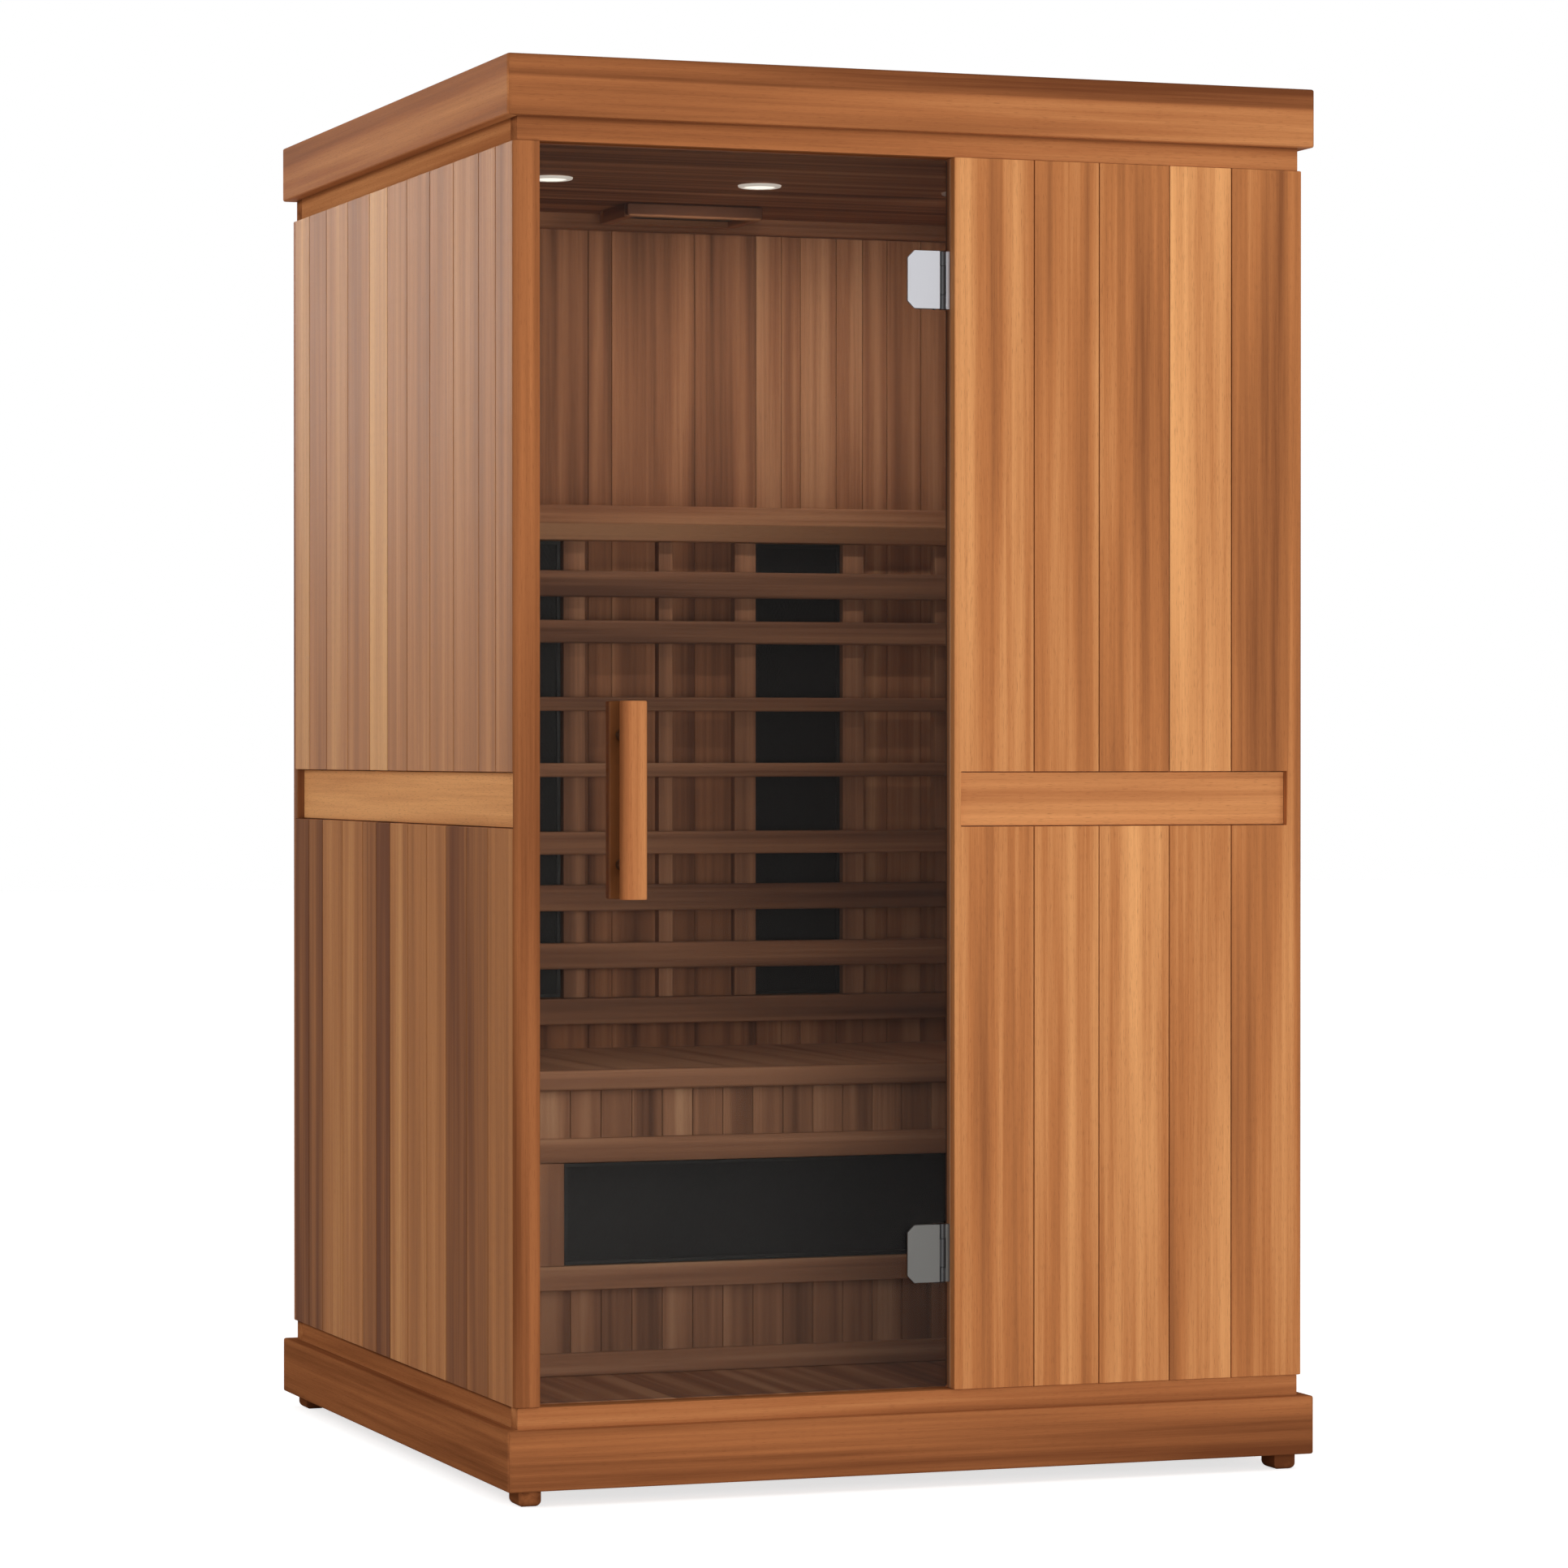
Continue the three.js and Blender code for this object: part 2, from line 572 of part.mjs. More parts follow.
// Roof: fascia, frame, ceiling boards with their fittings, and the cover
function makeRoof() {
  const roof = new THREE.Group();
  addTrim(roof, 'roof_fascia', fasciaBottom);
  addPart(roof, 'roof_frame',
    joistedFrame(wallTop, roofFrameTop, ceilingTop + FIT, roofFrameTop, ROOF_JOISTS), trimCedar);
  addPart(roof, 'roof_cover',
    block(-frameX, -frameY, roofFrameTop + FIT, frameX, frameY, HEIGHT - ROOF_COVER_DROP), plywood);

  const ceilingX = innerX - FIT;
  const ceilingY = innerY - FIT;
  const boards = boardedSection(-ceilingY, ceilingY, ceilingBottom, ceilingTop,
    equalSeams(-ceilingY, ceilingY, INNER_BOARD));
  const lightY = innerY - LIGHT_FROM_REAR;
  const lightXs = Array.from({ length: LIGHT_COUNT }, (_, i) => LIGHT_SPACING * (i - (LIGHT_COUNT - 1) / 2));
  const holes = lightXs.map((x) =>
    uprightBar(x, lightY, LIGHT_BODY_RADIUS + HOLE_CLEARANCE, ceilingBottom - CEILING_THICKNESS,
      ceilingTop + CEILING_THICKNESS));
  addPart(roof, 'ceiling_lining', cut(extrudeAcross(boards, -ceilingX, ceilingX), ...holes), liningCedar);
  lightXs.forEach((x, i) => {
    addPart(roof, `ceiling_light_${i + 1}`, makeLight(), lampWhite, [x, lightY, ceilingBottom - FIT]);
  });

  const crown = new THREE.Shape();
  crown.moveTo(ceilingY, ceilingBottom - FIT);
  crown.lineTo(ceilingY - CROWN_DEPTH, ceilingBottom - FIT);
  crown.lineTo(ceilingY - CROWN_DEPTH, ceilingBottom - CROWN_HEIGHT + CROWN_FILLET);
  crown.lineTo(ceilingY - CROWN_DEPTH + CROWN_FILLET, ceilingBottom - CROWN_HEIGHT);
  crown.lineTo(ceilingY, ceilingBottom - CROWN_HEIGHT);
  addPart(roof, 'ceiling_crown', extrudeAcross(crown, -ceilingX, ceilingX), liningCedar);

  const lampY = innerY - LAMP_FROM_REAR - LAMP_LENGTH / 2;
  addPart(roof, 'ceiling_lamp', makeCeilingLamp(), slatCedar, [0, lampY, ceilingBottom - FIT]);

  const powerY = -innerY + innerY / (ROOF_JOISTS + 1);
  const power = roundedRectangle(-POWER_WIDTH / 2, -POWER_LENGTH / 2, POWER_WIDTH / 2, POWER_LENGTH / 2,
    Array(4).fill(POWER_RADIUS));
  addPart(roof, 'power_supply', extrudeUp(power, 0, POWER_HEIGHT), darkPlastic,
    [0, powerY, ceilingTop + FIT]);
  return roof;
}

// Round ceiling light turned about Z: a bezel under the boards, a body through them
function makeLight() {
  const profile = [
    [0, -LIGHT_EDGE], [LIGHT_LENS_RADIUS, -LIGHT_EDGE], [LIGHT_LENS_RADIUS + LIGHT_EDGE, -LIGHT_BEZEL_HEIGHT],
    [LIGHT_BEZEL_RADIUS - LIGHT_EDGE, -LIGHT_BEZEL_HEIGHT], [LIGHT_BEZEL_RADIUS, 0],
    [LIGHT_BODY_RADIUS, 0], [LIGHT_BODY_RADIUS, LIGHT_BODY_HEIGHT], [0, LIGHT_BODY_HEIGHT],
  ].map(([radius, height]) => new THREE.Vector2(radius, height));
  return new THREE.LatheGeometry(profile, 2 * ROUND_SIDES).rotateX(Math.PI / 2);
}

// Shallow wooden box, open below, that hangs from the ceiling
function makeCeilingLamp() {
  const outline = (inset) => roundedRectangle(
    inset - LAMP_WIDTH / 2, inset - LAMP_LENGTH / 2, LAMP_WIDTH / 2 - inset, LAMP_LENGTH / 2 - inset,
    Array(4).fill(LAMP_CORNER_RADIUS));
  return cut(extrudeUp(outline(0), -LAMP_HEIGHT, 0),
    extrudeUp(outline(LAMP_BORDER), -LAMP_HEIGHT - FIT, LAMP_POCKET - LAMP_HEIGHT));
}

// Heater panel with a raised rim round its mesh; its back lies on y = 0
function makeHeater(width, height) {
  const panel = extrudeBack(rectangle(0, 0, width, height), -HEATER_THICKNESS, 0);
  const mesh = extrudeBack(
    rectangle(HEATER_RIM, HEATER_RIM, width - HEATER_RIM, height - HEATER_RIM),
    -2 * HEATER_THICKNESS, HEATER_RIM_DEPTH - HEATER_THICKNESS);
  return cut(panel, mesh);
}

// Level board along X with its front edges rounded; front at y0, back at y1
function frontRoundedBoard(halfLength, y0, y1, z0, z1, radius) {
  return extrudeAcross(roundedRectangle(y0, z0, y1, z1, [radius, 0, 0, radius]), -halfLength, halfLength);
}

// Bench: seat boards, nosing and the boarded kick panel with its heater
function makeBench() {
  const bench = new THREE.Group();
  const end = innerX - FIT;
  const seat = boardedSection(-end, end, seatTop, seatTop - SEAT_THICKNESS,
    equalSeams(-end, end, INNER_BOARD));
  addPart(bench, 'bench_seat', extrudeBack(seat, seatFront, innerY - FIT), slatCedar);
  addPart(bench, 'bench_nosing',
    frontRoundedBoard(end, nosingFront, nosingFront + NOSING_THICKNESS, seatTop - NOSING_HEIGHT, seatTop,
      NOSING_RADIUS), slatCedar);

  const kick = boardedSection(-end, end, kickFront, kickFront + KICK_THICKNESS,
    equalSeams(-end, end, BEAD_BOARD));
  addPart(bench, 'kick_panel',
    extrudeUp(kick, floorTop + FIT, seatTop - SEAT_THICKNESS - FIT), liningCedar);
  addPart(bench, 'kick_skirting',
    frontRoundedBoard(end, kickFront - FIT - SKIRTING_THICKNESS, kickFront - FIT, floorTop + FIT,
      floorTop + SKIRTING_HEIGHT, BOARD_EDGE_RADIUS), slatCedar);

  const heaterX = KICK_HEATER_WIDTH / 2;
  const heaterZ = floorTop + KICK_HEATER_ABOVE_FLOOR;
  const frameEnd = heaterX + KICK_FRAME_STILE;
  const frame = rectangle(-frameEnd, heaterZ - KICK_FRAME_RAIL,
    frameEnd, heaterZ + KICK_HEATER_HEIGHT + KICK_FRAME_RAIL);
  frame.holes.push(rectangle(-heaterX, heaterZ, heaterX, heaterZ + KICK_HEATER_HEIGHT));
  addPart(bench, 'kick_heater_frame',
    extrudeBack(frame, kickFront - FIT - KICK_FRAME_THICKNESS, kickFront - FIT), slatCedar);
  addPart(bench, 'kick_heater',
    makeHeater(KICK_HEATER_WIDTH - 2 * HEATER_GAP, KICK_HEATER_HEIGHT - 2 * HEATER_GAP), blackMesh,
    [HEATER_GAP - heaterX, kickFront - FIT, heaterZ + HEATER_GAP]);
  return bench;
}

// Backrest: battened frame, heaters between the battens, slats across them and a ledge on top
function makeBackrest() {
  const backrest = new THREE.Group();
  const slatEnd = innerX - SLAT_END_GAP;
  const railBottom = seatTop + BACK_RAIL_ABOVE_SEAT;
  const railTop = railBottom + BACK_RAIL_HEIGHT;
  const heaterInner = (REAR_HEATER_SPACING - REAR_HEATER_WIDTH) / 2;
  const heaterOuter = heaterInner + REAR_HEATER_WIDTH;

  const batten = (middle, width) => block(middle - width / 2, slatBack, railBottom,
    middle + width / 2, innerY - FIT, ledgeBottom - FIT);
  const battens = [batten(MIDDLE_BATTEN_OFFSET, NARROW_BATTEN_WIDTH)];
  for (const side of [-1, 1]) {
    battens.push(batten(side * (heaterInner - BATTEN_WIDTH / 2), BATTEN_WIDTH));
    battens.push(batten(side * (heaterOuter + BATTEN_WIDTH / 2), BATTEN_WIDTH));
    battens.push(batten(side * (slatEnd - NARROW_BATTEN_WIDTH), NARROW_BATTEN_WIDTH));
  }
  const slatFront = slatBack - FIT - SLAT_THICKNESS;
  const rail = frontRoundedBoard(slatEnd, slatFront, innerY - FIT, railBottom, railTop, SLAT_RADIUS);
  addPart(backrest, 'backrest_frame', join(rail, ...battens), slatCedar);

  SLATS.forEach(({ middle, height }, i) => {
    const z0 = seatTop + middle - height / 2;
    addPart(backrest, `backrest_slat_${i + 1}`,
      frontRoundedBoard(slatEnd, slatFront, slatBack - FIT, z0, z0 + height, SLAT_RADIUS), slatCedar);
  });

  const ledgeTop = ledgeBottom + LEDGE_HEIGHT;
  const ledge = new THREE.Shape();
  ledge.moveTo(innerY - FIT, ledgeBottom);
  ledge.lineTo(innerY - LEDGE_FOOT_DEPTH, ledgeBottom);
  ledge.lineTo(innerY - LEDGE_DEPTH, ledgeTop - LEDGE_FACE);
  ledge.absarc(innerY - LEDGE_DEPTH + SLAT_RADIUS, ledgeTop - SLAT_RADIUS, SLAT_RADIUS,
    Math.PI, Math.PI / 2, true);
  ledge.lineTo(innerY - FIT, ledgeTop);
  addPart(backrest, 'backrest_ledge', extrudeAcross(ledge, FIT - innerX, innerX - FIT), slatCedar);

  const heaterHeight = ledgeBottom - railTop - 2 * HEATER_GAP;
  for (const [name, x0] of [['left', -heaterOuter], ['right', heaterInner]]) {
    addPart(backrest, `rear_heater_${name}`,
      makeHeater(REAR_HEATER_WIDTH - 2 * HEATER_GAP, heaterHeight), blackMesh,
      [x0 + HEATER_GAP, innerY - FIT, railTop + HEATER_GAP]);
  }
  return backrest;
}

// Door, drawn about its hinge axis: glass, clamps and handles; the outer handle is flush with the trim
const clampRight = -(KNUCKLE_RADIUS + KNUCKLE_CLEARANCE);
const clampLeft = clampRight - CLAMP_WIDTH;
const clampInner = GLASS_THICKNESS / 2 + FIT;
const clampOuter = clampInner + CLAMP_THICKNESS;
const clampStudX = (clampLeft + clampRight) / 2;
const glassLeft = -innerX + GLASS_SIDE_GAP - hingeX;
const glassRight = hingeOffset - GLASS_SIDE_GAP;
const handleX = glassLeft + HANDLE_FROM_EDGE;
const handleStandoff = WALL_INSET + GLASS_SETBACK - GLASS_THICKNESS / 2 - FIT - HANDLE_DEPTH;
const handleBolts = [-1, 1].map((end) => BELT_CENTRE + (end * HANDLE_STANDOFF_SPACING) / 2);

function makeDoor() {
  const door = new THREE.Group();
  door.position.set(hingeX, hingeY, 0);
  addPart(door, 'door_glass', makeGlass(), tintedGlass);
  ['upper', 'lower'].forEach((name, i) => {
    addPart(door, `hinge_clamp_${name}`, makeHingeClamp(), satinSteel, [0, 0, hingeHeights[i]]);
  });
  addPart(door, 'door_handle_outer', makeHandle(GLASS_THICKNESS + FIT), boardCedar,
    [handleX, -GLASS_THICKNESS / 2 - FIT, 0]);
  addPart(door, 'door_handle_inner', makeHandle(0), boardCedar,
    [handleX, GLASS_THICKNESS / 2 + FIT, 0], Math.PI);
  return door;
}

// Glass sheet with a notch at each hinge and holes for the clamp and handle bolts
function makeGlass() {
  const bottom = wallBottom + GLASS_END_GAP;
  const top = wallTop - GLASS_END_GAP;
  const radius = GLASS_CORNER_RADIUS;
  const sheet = roundedRectangle(glassLeft, bottom, glassRight, top, Array(4).fill(radius));
  const half = GLASS_THICKNESS / 2;
  const bore = (x, z, boltRadius) =>
    levelBar(x, z, boltRadius + HOLE_CLEARANCE, -GLASS_THICKNESS, GLASS_THICKNESS);
  const cuts = handleBolts.map((z) => bore(handleX, z, HANDLE_STUD_RADIUS));
  for (const z of hingeHeights) {
    const notchHalf = HINGE_HEIGHT / 2 + KNUCKLE_CLEARANCE;
    cuts.push(block(clampRight - CLAMP_WEB - KNUCKLE_CLEARANCE, -GLASS_THICKNESS, z - notchHalf,
      glassRight + GLASS_THICKNESS, GLASS_THICKNESS, z + notchHalf));
    for (const end of [-1, 1]) {
      cuts.push(bore(clampStudX, z + (end * CLAMP_STUD_SPACING) / 2, CLAMP_STUD_RADIUS));
    }
  }
  return cut(extrudeBack(sheet, -half, half), ...cuts);
}

// Clamp: two plates on the glass, bolted through it, and a knuckle about the hinge axis
function makeHingeClamp() {
  const half = HINGE_HEIGHT / 2;
  const knuckleHalf = half / 2 - FIT;
  const plate = new THREE.Shape();
  plate.moveTo(clampRight, -half);
  plate.lineTo(clampRight, half);
  plate.lineTo(clampLeft + CLAMP_CHAMFER, half);
  plate.lineTo(clampLeft, half - CLAMP_CHAMFER);
  plate.lineTo(clampLeft, CLAMP_CHAMFER - half);
  plate.lineTo(clampLeft + CLAMP_CHAMFER, -half);
  const bite = CLAMP_THICKNESS / 2;
  const pieces = [
    extrudeBack(plate, clampInner, clampOuter),
    block(clampRight - CLAMP_WEB, -clampInner - bite, -half, clampRight, clampInner + bite, half),
    block(clampRight - bite, -clampInner, -knuckleHalf, 0, clampInner, knuckleHalf),
    uprightBar(0, 0, KNUCKLE_RADIUS, -knuckleHalf, knuckleHalf),
  ];
  for (const end of [-1, 1]) {
    pieces.push(levelBar(clampStudX, (end * CLAMP_STUD_SPACING) / 2, CLAMP_STUD_RADIUS,
      -clampInner - bite, clampInner + bite));
  }
  const whole = join(extrudeBack(plate, -clampOuter, -clampInner), ...pieces);
  return cut(whole, uprightBar(0, 0, PIN_RADIUS + PIN_CLEARANCE, -half, half));
}

// Wall bracket: a plate on the edge of the front wall, two knuckles and the pin
function makeHingeBracket() {
  const half = HINGE_HEIGHT / 2;
  const plateX = hingeOffset - FIT;
  const lug = KNUCKLE_RADIUS - KNUCKLE_CLEARANCE;
  const pieces = [uprightBar(0, 0, PIN_RADIUS, -half, half)];
  for (const [z0, z1] of [[-half, -half / 2], [half / 2, half]]) {
    pieces.push(uprightBar(0, 0, KNUCKLE_RADIUS, z0, z1));
    pieces.push(block(0, -lug, z0, plateX - BRACKET_THICKNESS / 2, lug, z1));
  }
  return join(block(plateX - BRACKET_THICKNESS, -lug, -half, plateX, BRACKET_WIDTH - lug, half), ...pieces);
}

// Handle bar in front of y = 0, with standoffs, and studs that reach through the glass
function makeHandle(studLength) {
  const back = -handleStandoff;
  const half = HANDLE_WIDTH / 2;
  const bar = roundedRectangle(-half, back - HANDLE_DEPTH, half, back,
    [HANDLE_FRONT_RADIUS, HANDLE_FRONT_RADIUS, HANDLE_BACK_RADIUS, HANDLE_BACK_RADIUS]);
  const pieces = [];
  for (const z of handleBolts) {
    pieces.push(levelBar(0, z, HANDLE_STANDOFF_RADIUS, back - HANDLE_DEPTH / 2, 0));
    if (studLength) pieces.push(levelBar(0, z, HANDLE_STUD_RADIUS, back, studLength));
  }
  return join(
    extrudeUp(bar, BELT_CENTRE - HANDLE_LENGTH / 2, BELT_CENTRE + HANDLE_LENGTH / 2), ...pieces);
}

const cabin = new THREE.Group();
cabin.name = 'infrared_sauna_cabin';
cabin.add(makeBase(), makeWalls(), makeRoof(), makeBench(), makeBackrest(), makeDoor());
['upper', 'lower'].forEach((name, i) => {
  addPart(cabin, `hinge_bracket_${name}`, makeHingeBracket(), satinSteel, [hingeX, hingeY, hingeHeights[i]]);
});

export default cabin;
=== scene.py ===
# Looks of an infrared sauna cabin: cedar boards, tinted glass, satin steel and black mesh.
# Metres, +Z up, the door side faces -Y.
import json
import math
import random

import bpy
import numpy as np
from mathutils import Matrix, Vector


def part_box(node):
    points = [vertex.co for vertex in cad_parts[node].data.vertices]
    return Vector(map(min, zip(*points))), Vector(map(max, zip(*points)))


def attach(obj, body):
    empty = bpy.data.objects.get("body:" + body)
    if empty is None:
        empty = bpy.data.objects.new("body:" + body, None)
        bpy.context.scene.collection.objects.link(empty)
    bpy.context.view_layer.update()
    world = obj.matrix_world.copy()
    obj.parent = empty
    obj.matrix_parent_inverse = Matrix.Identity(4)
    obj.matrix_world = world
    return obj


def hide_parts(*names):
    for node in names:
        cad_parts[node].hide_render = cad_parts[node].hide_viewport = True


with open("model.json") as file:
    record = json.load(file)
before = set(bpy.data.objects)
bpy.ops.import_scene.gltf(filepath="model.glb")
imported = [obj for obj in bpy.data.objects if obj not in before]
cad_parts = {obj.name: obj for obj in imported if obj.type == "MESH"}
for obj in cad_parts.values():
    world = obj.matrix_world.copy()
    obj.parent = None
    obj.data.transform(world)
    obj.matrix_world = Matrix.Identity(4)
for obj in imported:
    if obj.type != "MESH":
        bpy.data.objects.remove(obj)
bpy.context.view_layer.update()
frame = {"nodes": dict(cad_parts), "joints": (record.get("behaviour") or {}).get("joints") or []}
nodes = frame["nodes"]
hinge_axis = Vector(frame["joints"][0]["pos_m"])
draw = random.Random(11)

MM = 0.001

# Room left between pieces that meet, and between boards side by side
FIT = 0.3 * MM
BELT_ROOM = 1 * MM
HEATER_ROOM = 1 * MM
BOARD_GAP = 0.5 * MM
FRONT_GAP = 1.2 * MM
SIDE_GAP = 1.6 * MM
MITRE_GAP = 0.1 * MM

# Roundings of edges and corners
SHARP = math.radians(40)
FINE_EDGE = 0.5 * MM
SMALL_EDGE = 1 * MM
BOARD_EDGE = 1.1 * MM
SIDE_EDGE = 1.4 * MM
RAIL_EDGE = 1.5 * MM
BEAD_EDGE = 1.6 * MM
FRAME_EDGE = 2 * MM
SKIRTING_EDGE = 2.5 * MM
TRIM_EDGE = 3 * MM
SLAT_EDGE = 3.5 * MM
NOSING_EDGE = 4.5 * MM
TRIM_CORNER = 6 * MM
CORNER_DEPTH = 2.2 * MM
WALL_CORNER = 7 * MM
POST_CORNER = 8 * MM
FOOT_CORNER = 8.5 * MM
CROWN_CORNER = 9 * MM

# Widths of boards in the order in which they are laid, in millimetres
SIDE_UPPER_WIDTHS = [80, 80, 124, 120, 120, 105, 98, 124, 123, 102, 86]
SIDE_LOWER_WIDTHS = [117, 103, 104, 98, 98, 97, 75, 76, 115, 116, 82, 81]
FRONT_WIDTHS = [119, 98, 107, 95, 110]
REAR_LINING_WIDTHS = [113, 102, 112, 105, 39, 138, 103, 43, 32, 61, 45, 42, 58, 97]
INNER_BOARD = 100 * MM
BEAD_BOARD = 48 * MM

# How pale each board is, from 0, dark red, to 1, straw, in the order in which they are laid
SIDE_UPPER_TONES = [0.42, 0.50, 0.44, 0.47, 0.51, 0.44, 0.86, 0.48, 0.62, 0.36, 0.66]
SIDE_LOWER_TONES = [0.42, 0.24, 0.12, 0.54, 0.46, 0.50, 0.04, 0.24, 0.48, 0.50, 0.16, 0.10]
FRONT_UPPER_TONES = [0.58, 0.54, 0.35, 0.78, 0.40]
FRONT_LOWER_TONES = [0.49, 0.62, 0.66, 0.58, 0.58]
REAR_LINING_TONES = [0.40, 0.46, 0.52, 0.29, 0.31, 0.34, 0.30, 0.52, 0.52, 0.54, 0.64, 0.52, 0.46, 0.44]
SLAT_TONES = [0.30, 0.50, 0.34, 0.50, 0.54, 0.15, 0.42]
HEATER_FRAME_TONES = [0.55, 0.40, 0.40, 0.40]

# Upper and lower tone of the mitred trim, and how far down the upper one reaches
FASCIA_TONES = {"front": (0.14, 0.48), "rear": (0.26, 0.50), "left": (0.38, 0.50), "right": (0.26, 0.50)}
BASE_TONES = {"front": (0.36, 0.24), "rear": (0.36, 0.24), "left": (0.30, 0.18), "right": (0.36, 0.24)}
FASCIA_SHARE = 0.36
BASE_SHARE = 0.55
TRIM_FADE = 2 * MM

# Tones of single pieces
BELT_TONE = 0.88
FRONT_BELT_TONE = 0.82
POST_TONE = 0.26
LEDGER_TONE = 0.45
FOOT_TONE = 0.0
CROWN_TONE = 0.36
LAMP_TONE = 0.4
NOSING_TONE = 0.27
SKIRTING_TONE = 0.56
BACK_RAIL_TONE = 0.36
HANDLE_TONE = 0.48
RIM_TONE = 0.5

# Pieces of two tones, above and below a line: painted shade over a painted highlight on the lamp box's
# front, and on the backrest ledge a painted lighter underside below its front
LAMP_FRONT_SHADE_AND_HIGHLIGHT = (0.0, 0.9)
LEDGE_TONES_WITH_PAINTED_LIGHT = (0.42, 0.9)

# Limits between which the tones of other boards are drawn
RIGHT_UPPER_RANGE = (0.4, 0.7)
RIGHT_LOWER_RANGE = (0.35, 0.65)
REAR_WALL_RANGE = (0.3, 0.72)
LINING_RANGE = (0.32, 0.6)
FLOOR_RANGE = (0.44, 0.62)
CEILING_RANGE = (0.24, 0.38)
SEAT_RANGE = (0.85, 1.0)
KICK_RANGE = (0.3, 0.56)
BATTEN_RANGE = (0.34, 0.48)
SLAT_RANGE = (-0.04, 0.04)

# Which way the grain runs: the axis along the board, then the two across it
GRAIN = {"X": (0, 1, 2), "Y": (1, 2, 0), "Z": (2, 0, 1)}
GRAIN_SHIFT = 9


def colour(red, green, blue):
    """Linear colour from the 0 to 255 values that a screen shows."""
    def linear(value):
        share = value / 255
        return share / 12.92 if share <= 0.04045 else ((share + 0.055) / 1.055) ** 2.4
    return (linear(red), linear(green), linear(blue), 1.0)


WHITE = (1, 1, 1, 1)

# Dark, middle and pale shade of each cedar
WALL_SHADES = (colour(110, 63, 38), colour(180, 114, 67), colour(228, 164, 106))
SIDE_SHADES = (colour(107, 64, 40), colour(174, 115, 70), colour(222, 165, 107))
TRIM_SHADES = (colour(110, 63, 37), colour(170, 106, 64), colour(214, 148, 94))
INNER_SHADES = (colour(108, 71, 54), colour(172, 119, 86), colour(218, 167, 126))
# The bench's shades are the inner cedar's made greyer: painted light, standing in for the whiter light on
# the bench, backrest and kick panel
BENCH_PAINTED_LIGHT_SHADES = (colour(108, 75, 59), colour(172, 125, 95), colour(218, 172, 135))
PLYWOOD_SHADES = (colour(150, 112, 72), colour(196, 160, 114), colour(222, 192, 150))
PLYWOOD_TONE = 0.55


# Finishes


def set_inputs(tree, node, inputs):
    """Links the inputs that are given a socket, and sets the others."""
    for name, value in inputs.items():
        if isinstance(value, bpy.types.NodeSocket):
            tree.links.new(value, node.inputs[name])
        else:
            node.inputs[name].default_value = value


def add_node(tree, kind, inputs=None, **settings):
    """One shader node, with its settings, and its inputs set or linked."""
    made = tree.nodes.new(kind)
    for name, value in settings.items():
        setattr(made, name, value)
    set_inputs(tree, made, inputs or {})
    return made


def math_node(tree, operation, first, second=0.0, clamp=False):
    made = add_node(tree, "ShaderNodeMath", {0: first, 1: second}, operation=operation, use_clamp=clamp)
    return made.outputs[0]


def mix_colour(tree, share, first, second):
    made = add_node(tree, "ShaderNodeMix", {0: share, 6: first, 7: second}, data_type="RGBA")
    return made.outputs[2]


def new_group(name, inputs, outputs):
    """Empty shader group with named sockets, given as {name: socket type}."""
    group = bpy.data.node_groups.new(name, "ShaderNodeTree")
    for label, kind in inputs.items():
        group.interface.new_socket(label, in_out="INPUT", socket_type=kind)
    for label, kind in outputs.items():
        group.interface.new_socket(label, in_out="OUTPUT", socket_type=kind)
    return group, group.nodes.new("NodeGroupInput"), group.nodes.new("NodeGroupOutput")


def make_cedar_figure():
    """Cedar from grain coordinates: broad bands, growth lines, fibres and short dark pores."""
    group, given, result = new_group(
        "cedar_figure",
        {"Grain": "NodeSocketVector", "Tone": "NodeSocketFloat", "Dark": "NodeSocketColor",
         "Middle": "NodeSocketColor", "Pale": "NodeSocketColor", "Contrast": "NodeSocketFloat"},
        {"Colour": "NodeSocketColor", "Roughness": "NodeSocketFloat", "Height": "NodeSocketFloat"})
    dark, middle, pale = (given.outputs[name] for name in ("Dark", "Middle", "Pale"))

    def times(first, second):
        return math_node(group, "MULTIPLY", first, second)

    def plus(first, second):
        return math_node(group, "ADD", first, second)

    def streaks(along, across, detail, distortion=0.0):
        """Noise about zero, stretched along the grain."""
        stretched = add_node(group, "ShaderNodeMapping",
                             {"Vector": given.outputs["Grain"], "Scale": (along, across, across)})
        noise = add_node(group, "ShaderNodeTexNoise",
                         {"Vector": stretched.outputs[0], "Scale": 1.0, "Detail": detail,
                          "Distortion": distortion})
        return math_node(group, "SUBTRACT", noise.outputs["Fac"], 0.5)

    bands = streaks(along=0.8, across=26, detail=2.0)
    lines = streaks(along=1.6, across=150, detail=3.0, distortion=0.15)
    fibres = streaks(along=11, across=950, detail=2.0)
    pores = streaks(along=70, across=1300, detail=1.0)

    band_share, line_share, fibre_share = 1.9, 0.6, 0.22
    figure = times(plus(times(bands, band_share), times(lines, line_share)), given.outputs["Contrast"])
    figure = plus(plus(figure, times(fibres, fibre_share)), given.outputs["Tone"])

    # The lower half of the tones runs from dark to middle, the upper half from middle to pale
    doubled = 2.0
    lower_half = math_node(group, "MULTIPLY", figure, doubled, clamp=True)
    upper_half = math_node(group, "SUBTRACT", times(figure, doubled), 1.0, clamp=True)
    shade = mix_colour(group, lower_half, dark, middle)
    shade = mix_colour(group, upper_half, shade, pale)
    fleck = add_node(group, "ShaderNodeMapRange",
                     {"Value": pores, "From Min": 0.10, "From Max": 0.22, "To Min": 0.0, "To Max": 0.32})
    shade = mix_colour(group, fleck.outputs[0], shade, dark)

    middle_roughness, roughness_change = 0.47, 0.25
    relief = plus(times(lines, line_share), fibres)
    set_inputs(group, result, {
        "Colour": shade,
        "Roughness": plus(times(fibres, roughness_change), middle_roughness),
        "Height": math_node(group, "SUBTRACT", relief, fleck.outputs[0])})
    return group


cedar_figure = make_cedar_figure()


